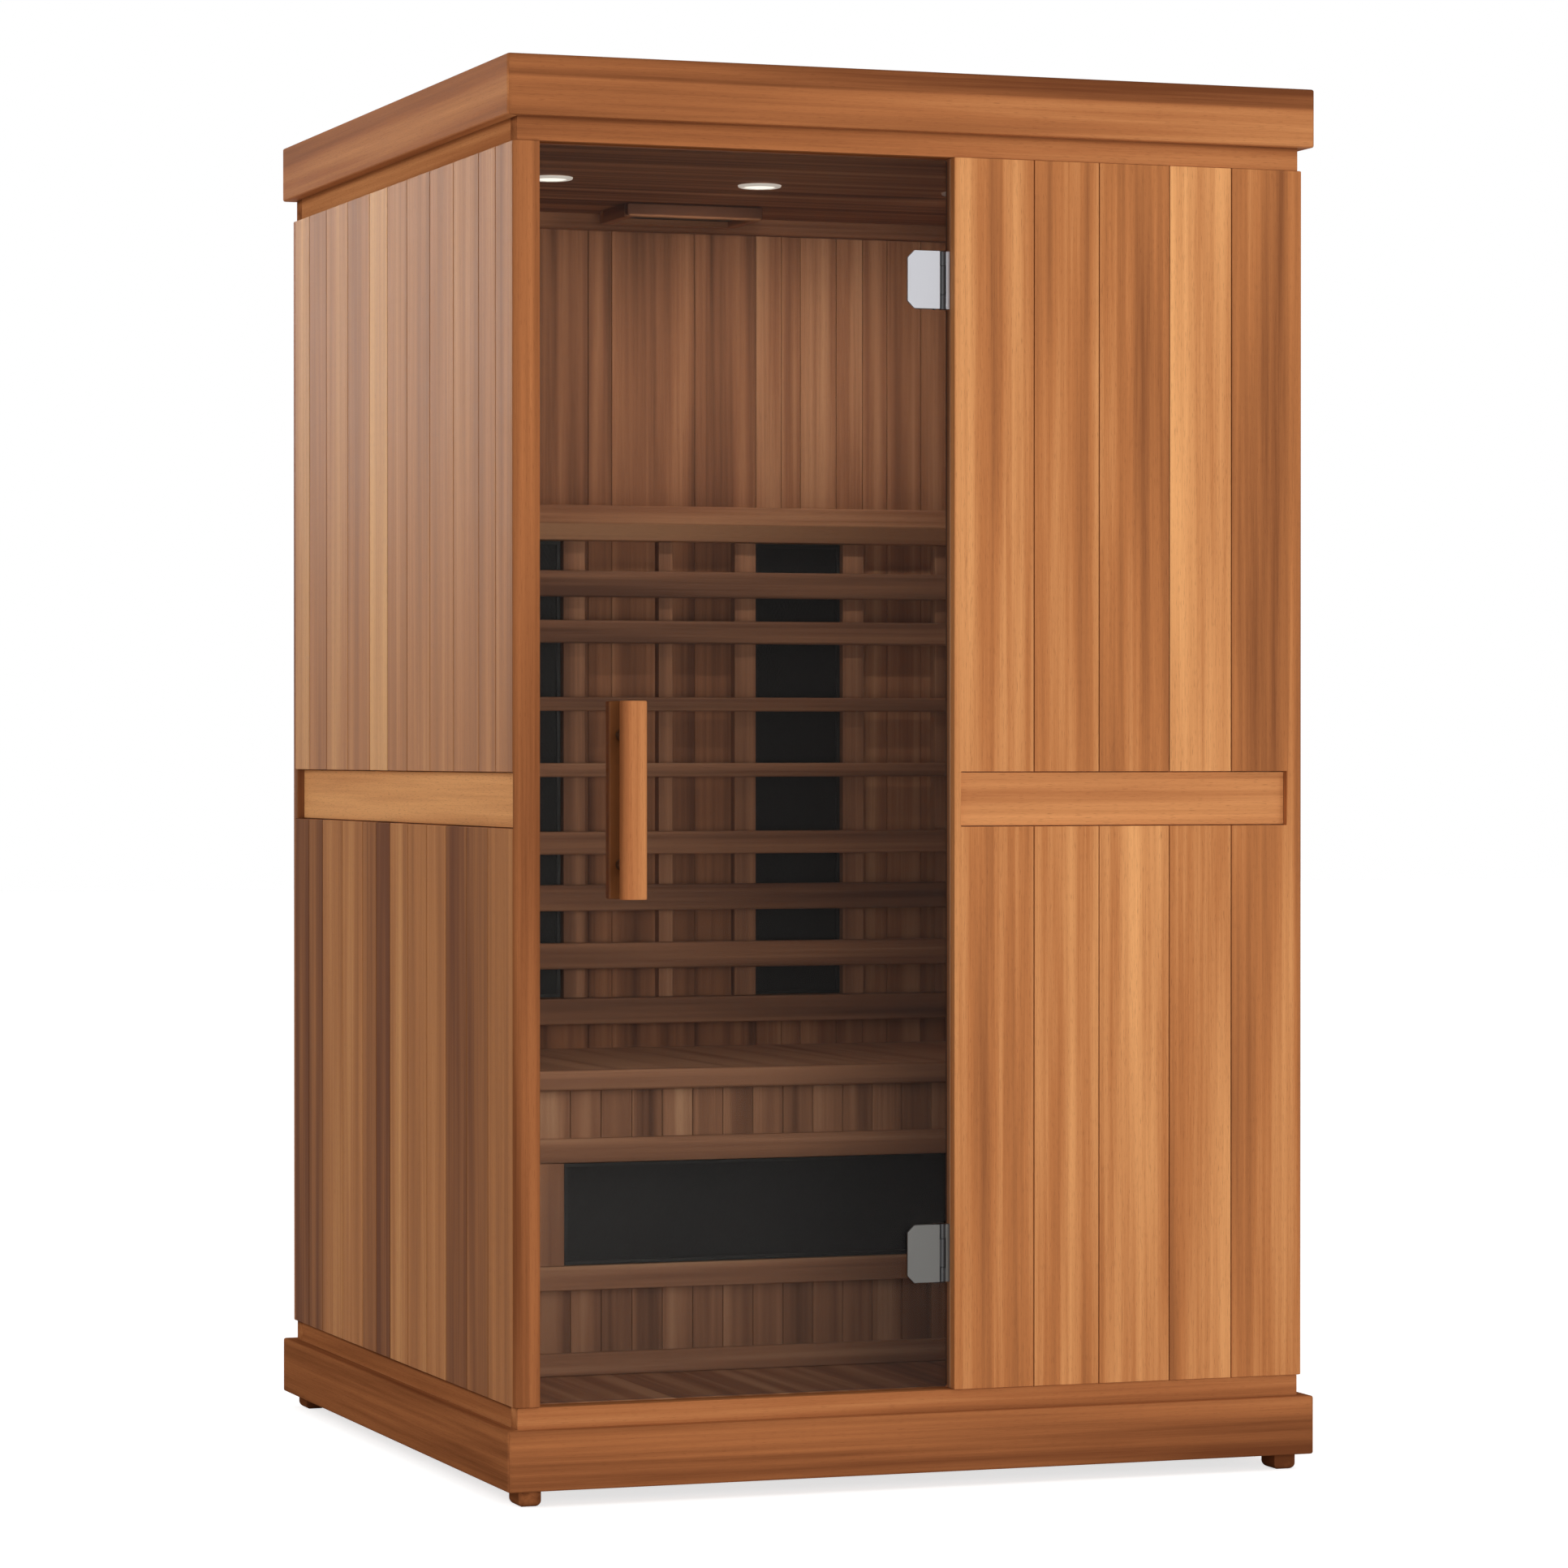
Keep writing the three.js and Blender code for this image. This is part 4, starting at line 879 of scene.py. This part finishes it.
def build_frames():
    """The plinth under the walls and the frieze over them, each with a painted shadow under what overhangs
    it.
    """
    floor_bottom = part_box("floor_frame")[0].z
    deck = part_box("floor_deck")[0].z
    under_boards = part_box("left_cladding")[0].z
    # Painted shadow on the plinth under the cladding's bottom, and on the frieze under the fascia
    build_ring("floor_frame", "plinth_frame", 3, floor_bottom, deck - FIT, PLINTH_TONE, PLINTH_LEFT_TONE,
               under_boards, None)
    roof_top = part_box("roof_frame")[1].z
    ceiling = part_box("ceiling_lining")[1].z
    under_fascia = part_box("roof_fascia_left")[0].z
    build_ring("roof_frame", "frieze_frame", 2, ceiling + FIT, roof_top, FRIEZE_TONE, FRIEZE_LEFT_TONE,
               under_fascia, under_fascia)


def build_feet():
    for row in ("front", "rear"):
        for side in ("left", "right"):
            node = f"foot_{row}_{side}"
            low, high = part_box(node)
            foot = block(node, low, high)
            bevel_edges(foot, edges_at(z=low.z), FOOT_CORNER, 5)
            round_edges(foot, SMALL_EDGE)
            lay_grain(foot, "Y", FOOT_TONE)
            place_piece(foot, trim_cedar, replaced=[node])


# Ceiling

# A bezel from its rim inwards: the share of its width that each ring keeps, and how far it moves up
BEZEL_RINGS = ((0.975, -2.2 * MM), (0.94, -0.8 * MM), (0.84, 0), (0.955, 1.2 * MM))
BEZEL_RISE = 3 * MM
BEZEL_WALL = 0.6 * MM
BEZEL_SMOOTH = math.radians(50)
LENS_SHARE = 0.96
LENS_RISE = 1.4 * MM
LENS_FLATNESS = 0.05
DOWNLIGHT_WATTS = {1: 0.2, 2: 0.68, 3: 0.78}
DOWNLIGHT_SIZE = 50 * MM
DOWNLIGHT_DROP = 6 * MM
DOWNLIGHT_SPREAD = math.radians(85)
DOWNLIGHT_AIM = (0.55, 1.56)
LAMP_BORDER = 16 * MM
LAMP_FRONT_EDGE = 5 * MM
LAMP_PANEL_RISE = 9 * MM
LAMP_HIGHLIGHT_RISE = 2 * MM


def build_ceiling():
    """Ceiling boards, the crown along the rear wall, three downlights and the flat lamp box."""
    board_over("ceiling_lining", "ceiling", inner_cedar, 1, "X", CEILING_RANGE)

    low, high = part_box("ceiling_crown")
    crown = block("crown", low, high)
    bevel_edges(crown, edges_at(y=low.y, z=low.z), CROWN_CORNER, 4)
    round_edges(crown, SMALL_EDGE)
    lay_grain(crown, "X", CROWN_TONE)
    place_piece(crown, inner_cedar, replaced=["ceiling_crown"])

    # Bezels of the first two lights glow with painted light
    build_downlight(1, painted_glow_bezel)
    build_downlight(2, painted_glow_bezel)
    build_downlight(3, white_plastic)
    build_lamp_box()


def build_downlight(index, bezel_finish):
    """White bezel drawn in ring by ring, glowing with painted light on the first two lights, and a lit lens
    inside it.
    """
    node = f"ceiling_light_{index}"
    low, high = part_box(node)
    centre = (low + high) / 2
    radius = (high.x - low.x) / 2
    bpy.ops.object.select_all(action="DESELECT")
    bpy.ops.mesh.primitive_circle_add(vertices=48, radius=radius,
                                      location=(centre.x, centre.y, low.z + BEZEL_RISE))
    bezel = bpy.context.object
    bezel.name = f"downlight_bezel_{index}"
    bpy.ops.object.mode_set(mode="EDIT")
    bpy.ops.mesh.select_all(action="SELECT")
    for share, rise in BEZEL_RINGS:
        bpy.ops.mesh.extrude_region_move(TRANSFORM_OT_translate={"value": (0, 0, rise)})
        bpy.ops.transform.resize(value=(share, share, 1), center_override=(centre.x, centre.y, 0))
    bpy.ops.object.mode_set(mode="OBJECT")
    apply_modifier(bezel, "SOLIDIFY", thickness=BEZEL_WALL, offset=-1)
    settle_place()
    shade_smooth(bezel, BEZEL_SMOOTH)
    place_piece(bezel, bezel_finish, replaced=[node])

    bpy.ops.object.select_all(action="DESELECT")
    bpy.ops.mesh.primitive_uv_sphere_add(segments=32, ring_count=16, radius=radius * LENS_SHARE,
                                         location=(centre.x, centre.y, low.z + LENS_RISE))
    lens = bpy.context.object
    lens.name = f"downlight_lens_{index}"
    lens.scale = (1, 1, LENS_FLATNESS)
    settle_place()
    bpy.ops.object.shade_smooth()
    place_piece(lens, lit_lens)

    lamp = add_soft_light(f"downlight_{index}", (centre.x, centre.y, low.z - DOWNLIGHT_DROP),
                          (centre.x, *DOWNLIGHT_AIM), DOWNLIGHT_SIZE, DOWNLIGHT_WATTS[index], WARM_WHITE)
    lamp.data.shape = "DISK"
    lamp.data.spread = DOWNLIGHT_SPREAD


def build_lamp_box():
    """Wooden frame under the ceiling, with painted shade on its front and a painted highlight along its
    lower edge, round a sunk panel in dark plastic, which also stands in for the shade inside the box.
    """
    low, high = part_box("ceiling_lamp")
    columns = (low.x + LAMP_BORDER, high.x - LAMP_BORDER)
    rows = (low.y + LAMP_BORDER, high.y - LAMP_BORDER)
    bars = bars_around(low, high, columns, rows, 1)
    front = block("lamp_side", *bars[0])
    round_edges(front, LAMP_FRONT_EDGE)
    # Painted shade on the front, and a painted highlight along its lower edge
    lay_grain(front, "X", *LAMP_FRONT_SHADE_AND_HIGHLIGHT, low.z + LAMP_HIGHLIGHT_RISE)
    sides = [front]
    for ends, axis in zip(bars[1:], "XYY"):
        sides.append(plank("lamp_side", *ends, axis, LAMP_TONE, FRAME_EDGE))
    place_piece(join("lamp_frame", sides), inner_cedar, replaced=["ceiling_lamp"])
    # Dark plastic panel, which also stands in for the shade in the box's recess
    panel = block("lamp_panel", (columns[0], rows[0], low.z + LAMP_PANEL_RISE),
                  (columns[1], rows[1], high.z))
    round_edges(panel, SMALL_EDGE)
    place_piece(panel, dark_plastic)


# Bench and backrest

HEATER_RIM = 6 * MM
PANEL_DEPTH = 5 * MM
LATTICE_PITCH = 6 * MM
LATTICE_LEAN = math.radians(58)
LATTICE_DEPTHS = {-1: 3.2 * MM, 1: 2.2 * MM}
STRAND_WIDTH = 1.1 * MM
STRAND_DEPTH = 1 * MM
UNDER_RIM = 1 * MM
WIDE_BATTEN = 36 * MM
NARROW_BATTEN = 24 * MM
MIDDLE_BATTEN = 9 * MM
LEDGE_SLOPE = 26 * MM
LEDGE_EDGE = 2.5 * MM
LEDGE_PAINTED_LIGHT_RISE = 25 * MM


def build_heater(node):
    """Black panel in a rim, behind a lattice of crossing strands."""
    low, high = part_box(node)
    columns = (low.x + HEATER_RIM, high.x - HEATER_RIM)
    rows = (low.z + HEATER_RIM, high.z - HEATER_RIM)
    panel = block(f"{node}_panel", (columns[0], low.y + PANEL_DEPTH, rows[0]), (columns[1], high.y, rows[1]))
    round_edges(panel, FINE_EDGE)
    place_piece(panel, black_panel)
    pieces = []
    for ends, axis in zip(bars_around(low, high, columns, rows, 2), "XXZZ"):
        pieces.append(plank("rim", *ends, axis, RIM_TONE, SMALL_EDGE))
    for lean in (-1, 1):
        pieces.append(lattice_strands(low, high, lean))
    place_piece(join(f"{node}_grille", pieces), black_mesh, replaced=[node])


def lattice_strands(low, high, lean):
    """Strands that lean one way across the opening of a heater, cut off under its rim."""
    centre = (low + high) / 2
    reach = math.hypot(high.x - low.x, high.z - low.z)
    count = int(reach / LATTICE_PITCH) + 2
    front = low.y + LATTICE_DEPTHS[lean]
    strands = block("strand", (-reach / 2, front, -STRAND_WIDTH / 2),
                    (reach / 2, front + STRAND_DEPTH, STRAND_WIDTH / 2))
    apply_modifier(strands, "ARRAY", count=count, use_relative_offset=False, use_constant_offset=True,
                   constant_offset_displace=(0, 0, LATTICE_PITCH))
    select_only(strands)
    bpy.ops.object.mode_set(mode="EDIT")
    bpy.ops.mesh.select_all(action="SELECT")
    bpy.ops.transform.translate(value=(0, 0, -LATTICE_PITCH * (count - 1) / 2))
    bpy.ops.transform.rotate(value=LATTICE_LEAN * lean, orient_axis="Y", center_override=(0, 0, 0))
    bpy.ops.transform.translate(value=(centre.x, 0, centre.z))
    bpy.ops.object.mode_set(mode="OBJECT")
    inset = HEATER_RIM - UNDER_RIM
    cut_off(strands, (low.x + inset, 0, 0), (-1, 0, 0))
    cut_off(strands, (high.x - inset, 0, 0), (1, 0, 0))
    cut_off(strands, (0, 0, low.z + inset), (0, 0, -1))
    cut_off(strands, (0, 0, high.z - inset), (0, 0, 1))
    return strands


def build_bench():
    """Seat boards and nosing, and the kick panel with its skirting and its framed heater."""
    board_over("bench_seat", "seat", bench_cedar_painted_light, 0, "Y", SEAT_RANGE, edge=FRAME_EDGE)
    nosing = plank("seat_nosing", *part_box("bench_nosing"), "X", NOSING_TONE, NOSING_EDGE, 4)
    place_piece(nosing, bench_cedar_painted_light, replaced=["bench_nosing"])

    board_over("kick_panel", "kick", bench_cedar_painted_light, 0, "Z", KICK_RANGE, BEAD_BOARD, BEAD_EDGE)
    skirting = plank("skirting", *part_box("kick_skirting"), "X", SKIRTING_TONE, SKIRTING_EDGE, 3)
    place_piece(skirting, bench_cedar_painted_light, replaced=["kick_skirting"])

    low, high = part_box("kick_heater_frame")
    heater_low, heater_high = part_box("kick_heater")
    columns = (heater_low.x - HEATER_ROOM, heater_high.x + HEATER_ROOM)
    rows = (heater_low.z - HEATER_ROOM, heater_high.z + HEATER_ROOM)
    bars = bars_around(low, high, columns, rows, 2)
    sides = []
    for ends, axis, tone in zip(bars, "XXZZ", HEATER_FRAME_TONES):
        sides.append(plank("frame_side", *ends, axis, tone, FRAME_EDGE))
    place_piece(join("heater_frame", sides), bench_cedar_painted_light, replaced=["kick_heater_frame"])
    build_heater("kick_heater")


def build_backrest():
    """Slats on upright battens, the rail below, the sloped ledge above and the two heaters."""
    for i, tone in enumerate(SLAT_TONES, 1):
        node = f"backrest_slat_{i}"
        slat = plank(f"back_slat_{i}", *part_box(node), "X", tone + draw.uniform(*SLAT_RANGE), SLAT_EDGE, 3)
        place_piece(slat, bench_cedar_painted_light, replaced=[node])

    low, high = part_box("backrest_frame")
    slat_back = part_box("backrest_slat_1")[1].y + FIT
    heaters = [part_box("rear_heater_left"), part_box("rear_heater_right")]
    rail_top = heaters[0][0].z - HEATER_ROOM
    middles = [(MIDDLE_BATTEN, NARROW_BATTEN), (low.x + NARROW_BATTEN, NARROW_BATTEN),
               (high.x - NARROW_BATTEN, NARROW_BATTEN)]
    for heater_low, heater_high in heaters:
        middles.append((heater_low.x - HEATER_ROOM - WIDE_BATTEN / 2, WIDE_BATTEN))
        middles.append((heater_high.x + HEATER_ROOM + WIDE_BATTEN / 2, WIDE_BATTEN))
    pieces = []
    for x, width in middles:
        pieces.append(plank("batten", (x - width / 2, slat_back, rail_top), (x + width / 2, high.y, high.z),
                            "Z", draw.uniform(*BATTEN_RANGE), FRAME_EDGE))
    pieces.append(plank("back_rail", low, (high.x, high.y, rail_top), "X", BACK_RAIL_TONE, SLAT_EDGE, 3))
    place_piece(join("backrest_battens", pieces), bench_cedar_painted_light, replaced=["backrest_frame"])

    low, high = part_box("backrest_ledge")
    ledge = block("ledge", low, high)
    bevel_edges(ledge, edges_at(y=low.y, z=low.z), LEDGE_SLOPE, 1)
    round_edges(ledge, LEDGE_EDGE, 3)
    # Painted light: the chamfer and underside, which face down into shade, are paler than the front
    lay_grain(ledge, "X", *LEDGE_TONES_WITH_PAINTED_LIGHT, low.z + LEDGE_PAINTED_LIGHT_RISE)
    place_piece(ledge, inner_cedar, replaced=["backrest_ledge"])

    build_heater("rear_heater_left")
    build_heater("rear_heater_right")


# Door

HANDLE_DEPTH = 17 * MM
HANDLE_WIDER_LEFT = 1.5 * MM
HANDLE_WIDER_RIGHT = 3 * MM
HANDLE_INNER_REACH = 12 * MM
HANDLE_OUTER_ROUND = 9 * MM
HANDLE_INNER_ROUND = 4 * MM
STANDOFF_SPREAD = 88 * MM
STANDOFF_RADIUS = 8 * MM
STEEL_EDGE = 0.8 * MM
PLATE_SETBACK = 6 * MM
PLATE_INSET = 6 * MM
PLATE_CORNER = 10 * MM
WEB_WIDTH = 5.5 * MM
WEB_INSET = 1 * MM
BARREL_RADIUS = 5 * MM
SLEEVE_HALF = 19.7 * MM
ARM_HALF = 19 * MM
ARM_HALF_DEPTH = 3.5 * MM
ARM_EDGE = 0.4 * MM
SCREW_SPREAD = 22 * MM
SCREW_RADIUS = 6 * MM
SCREW_HEAD = 1.6 * MM
SCREW_SUNK = 0.6 * MM
SLOT_BOTTOM = 0.8 * MM
SLOT_TOP = 3 * MM
SLOT_HALF_LENGTH = 3 * MM
SLOT_HALF_WIDTH = 0.7 * MM
BRACKET_PLATE = 5.5 * MM
BRACKET_EDGE = 0.6 * MM
LUG_HEIGHT = 20 * MM
LUG_HALF_DEPTH = 4 * MM
LUG_INSET = 0.5 * MM
LUG_OVERLAP = 5 * MM


def build_door():
    """Tinted glass with ground edges, a handle on each side and two hinges."""
    glass = nodes["door_glass"].data
    glass.materials.clear()
    glass.materials.append(tinted_glass)
    glass.materials.append(ground_edge)
    for face in glass.polygons:
        face.material_index = 0 if abs(face.normal.y) > 0.5 else 1
    for side in ("outer", "inner"):
        build_handle(side)
    # The lower hinge gets the darker copy of the steel: painted shade
    for level, steel in (("upper", satin_steel), ("lower", painted_shade_steel)):
        build_clamp(level, steel)
        build_bracket(level, steel)


def build_handle(side):
    """Wooden bar with a well rounded front, on two steel standoffs."""
    node = f"door_handle_{side}"
    low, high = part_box(node)
    glass_low, glass_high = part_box("door_glass")
    if side == "outer":
        front = low.y
        back = front + HANDLE_DEPTH
        rounding = HANDLE_OUTER_ROUND
        glass_face = glass_low.y
    else:
        front = high.y + HANDLE_INNER_REACH
        back = front - HANDLE_DEPTH
        rounding = HANDLE_INNER_ROUND
        glass_face = glass_high.y
    bar = block(f"handle_bar_{side}", (low.x - HANDLE_WIDER_LEFT, min(front, back), low.z),
                (high.x + HANDLE_WIDER_RIGHT, max(front, back), high.z))
    bevel_edges(bar, edges_at(along="z", y=front), rounding, 8)
    round_edges(bar, FRAME_EDGE, 3)
    lay_grain(bar, "Z", HANDLE_TONE)
    place_piece(bar, trim_cedar, "door", [node])
    centre = (low + high) / 2
    for end, way in (("low", -1), ("high", 1)):
        z = centre.z + way * STANDOFF_SPREAD
        standoff = round_bar(f"standoff_{side}_{end}", (centre.x, back, z), (centre.x, glass_face, z),
                             STANDOFF_RADIUS)
        round_edges(standoff, STEEL_EDGE)
        place_piece(standoff, satin_steel, "door")


def pin_barrel(name, bottom, top):
    """Round barrel about the hinges' axis."""
    barrel = round_bar(name, (hinge_axis.x, hinge_axis.y, bottom), (hinge_axis.x, hinge_axis.y, top),
                       BARREL_RADIUS)
    round_edges(barrel, FINE_EDGE)
    return barrel


def build_clamp(level, steel):
    """Two plates that grip the glass, the web and screws between them, and the sleeve on the pin."""
    low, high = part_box(f"hinge_clamp_{level}")
    glass_low, glass_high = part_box("door_glass")
    plate_right = hinge_axis.x - PLATE_SETBACK
    middle = (low.z + high.z) / 2
    pieces = []
    for left, front, back in ((low.x, low.y, glass_low.y - FIT),
                              (low.x + PLATE_INSET, glass_high.y + FIT, high.y)):
        plate = block("clamp_plate", (left, front, low.z), (plate_right, back, high.z))
        bevel_edges(plate, edges_at(along="y", x=left), PLATE_CORNER, 1)
        round_edges(plate, STEEL_EDGE)
        pieces.append(plate)
    web = block("clamp_web", (plate_right - WEB_WIDTH, low.y + WEB_INSET, low.z + WEB_INSET),
                (plate_right, high.y - WEB_INSET, high.z - WEB_INSET))
    round_edges(web, FINE_EDGE)
    pieces.append(web)

    # Painted shade: the knuckle and arm are dark, standing in for the shadow in the hinge's barrel
    knuckle = pin_barrel("clamp_knuckle", middle - SLEEVE_HALF, middle + SLEEVE_HALF)
    arm = block("clamp_arm", (plate_right - WEB_INSET, hinge_axis.y - ARM_HALF_DEPTH, middle - ARM_HALF),
                (hinge_axis.x, hinge_axis.y + ARM_HALF_DEPTH, middle + ARM_HALF))
    round_edges(arm, ARM_EDGE)
    place_piece(join(f"hinge_sleeve_{level}", [knuckle, arm]), dark_plastic, "door")

    x = (low.x + plate_right) / 2
    head = high.y + SCREW_HEAD
    for way in (-1, 1):
        z = middle + way * SCREW_SPREAD
        screw = round_bar("clamp_screw", (x, high.y - SCREW_SUNK, z), (x, head, z), SCREW_RADIUS)
        bevel_edges(screw, edges_at(y=head), STEEL_EDGE, 2)
        cut_out(screw, (x - SLOT_HALF_LENGTH, high.y + SLOT_BOTTOM, z - SLOT_HALF_WIDTH),
                (x + SLOT_HALF_LENGTH, high.y + SLOT_TOP, z + SLOT_HALF_WIDTH))
        shade_smooth(screw)
        pieces.append(screw)
    place_piece(join(f"hinge_plates_{level}", pieces), steel, "door",
                [f"hinge_clamp_{level}"])


def build_bracket(level, steel):
    """Plate on the wall's edge, and two lugs that hold the pin."""
    low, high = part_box(f"hinge_bracket_{level}")
    plate = block(f"hinge_wall_plate_{level}", (high.x - BRACKET_PLATE, low.y, low.z), high)
    round_edges(plate, BRACKET_EDGE)
    place_piece(plate, steel, "cabin", [f"hinge_bracket_{level}"])
    pieces = []
    for bottom, top in ((low.z, low.z + LUG_HEIGHT), (high.z - LUG_HEIGHT, high.z)):
        barrel = pin_barrel("bracket_knuckle", bottom, top)
        lug = block("bracket_lug", (hinge_axis.x, hinge_axis.y - LUG_HALF_DEPTH, bottom + LUG_INSET),
                    (high.x - LUG_OVERLAP, hinge_axis.y + LUG_HALF_DEPTH, top - LUG_INSET))
        round_edges(lug, ARM_EDGE)
        pieces += [barrel, lug]
    # Painted shade: the knuckles and lugs are dark, standing in for the shadow in the hinge's barrel
    place_piece(join(f"hinge_wall_knuckles_{level}", pieces), dark_plastic)


# Fittings

TOUCH_CORNER = 8 * MM
TOUCH_EDGE = 0.6 * MM
TOUCH_BORDER = 9 * MM
TOUCH_RECESS = 1.5 * MM
TOUCH_CLEAR = 10 * MM
SCREEN_BORDER = 9.5 * MM
SCREEN_BACK = 2.2 * MM
SCREEN_FACE = 0.7 * MM
SCREEN_EDGE = 0.4 * MM
ROOF_SCREW_INSET = 30 * MM
ROOF_SCREW_RADIUS = 5 * MM
ROOF_SCREW_SUNK = 1 * MM
ROOF_SCREW_HEAD = 0.8 * MM
ROOF_SCREW_EDGE = 0.15 * MM
CROSS_HALF_LENGTH = 3.2 * MM
CROSS_HALF_WIDTH = 0.5 * MM
CROSS_TOP = 5 * MM


def build_touch_panel():
    """Flat dark housing with a sunk glossy screen, facing into the cabin."""
    low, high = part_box("touch_panel")
    housing = block("panel_housing", low, high)
    bevel_edges(housing, edges_at(along="y"), TOUCH_CORNER, 5)
    cut_out(housing, (low.x + TOUCH_BORDER, high.y - TOUCH_RECESS, low.z + TOUCH_BORDER),
            (high.x - TOUCH_BORDER, high.y + TOUCH_CLEAR, high.z - TOUCH_BORDER))
    round_edges(housing, TOUCH_EDGE)
    place_piece(housing, dark_plastic, replaced=["touch_panel"])
    screen = block("panel_screen", (low.x + SCREEN_BORDER, high.y - SCREEN_BACK, low.z + SCREEN_BORDER),
                   (high.x - SCREEN_BORDER, high.y - SCREEN_FACE, high.z - SCREEN_BORDER))
    round_edges(screen, SCREEN_EDGE)
    place_piece(screen, screen_glass)


def build_roof_screws():
    """Flat cross-slotted screw heads that hold the roof panel to the frame."""
    low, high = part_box("roof_cover")
    rows = (low.y + ROOF_SCREW_INSET, (low.y + high.y) / 2, high.y - ROOF_SCREW_INSET)
    columns = (low.x + ROOF_SCREW_INSET, (low.x + high.x) / 2, high.x - ROOF_SCREW_INSET)
    slots = ((CROSS_HALF_LENGTH, CROSS_HALF_WIDTH), (CROSS_HALF_WIDTH, CROSS_HALF_LENGTH))
    heads = []
    for x in columns:
        for y in rows:
            head = round_bar("roof_screw", (x, y, high.z - ROOF_SCREW_SUNK),
                             (x, y, high.z + ROOF_SCREW_HEAD), ROOF_SCREW_RADIUS, 24)
            for half_x, half_y in slots:
                cut_out(head, (x - half_x, y - half_y, high.z), (x + half_x, y + half_y, high.z + CROSS_TOP))
            round_edges(head, ROOF_SCREW_EDGE)
            heads.append(head)
    place_piece(join("roof_screws", heads), satin_steel)


def finish_hidden_nodes():
    """Finishes of the two nodes that keep their own shape: the roof cover and the power supply."""
    for node, material in (("roof_cover", roof_plywood), ("power_supply", dark_plastic)):
        nodes[node].data.materials.clear()
        nodes[node].data.materials.append(material)


add_camera()
add_world()
add_lights()
add_floor()

build_side_wall("left", SIDE_UPPER_TONES, SIDE_LOWER_TONES, oiled_cedar, side_cedar)
right_upper_tones = mixed_tones(len(SIDE_UPPER_WIDTHS), RIGHT_UPPER_RANGE)
right_lower_tones = mixed_tones(len(SIDE_LOWER_WIDTHS), RIGHT_LOWER_RANGE)
build_side_wall("right", right_upper_tones, right_lower_tones, wall_cedar, wall_cedar)
build_front_wall()
build_rear_wall()
build_linings()
build_trim("roof_fascia", rubbed_cedar, FASCIA_TONES, FASCIA_SHARE)
build_trim("base_trim", trim_cedar, BASE_TONES, BASE_SHARE)
build_frames()
build_feet()
build_ceiling()
build_bench()
build_backrest()
build_door()
build_touch_panel()
build_roof_screws()
finish_hidden_nodes()

bpy.context.scene.view_settings.view_transform = "Standard"
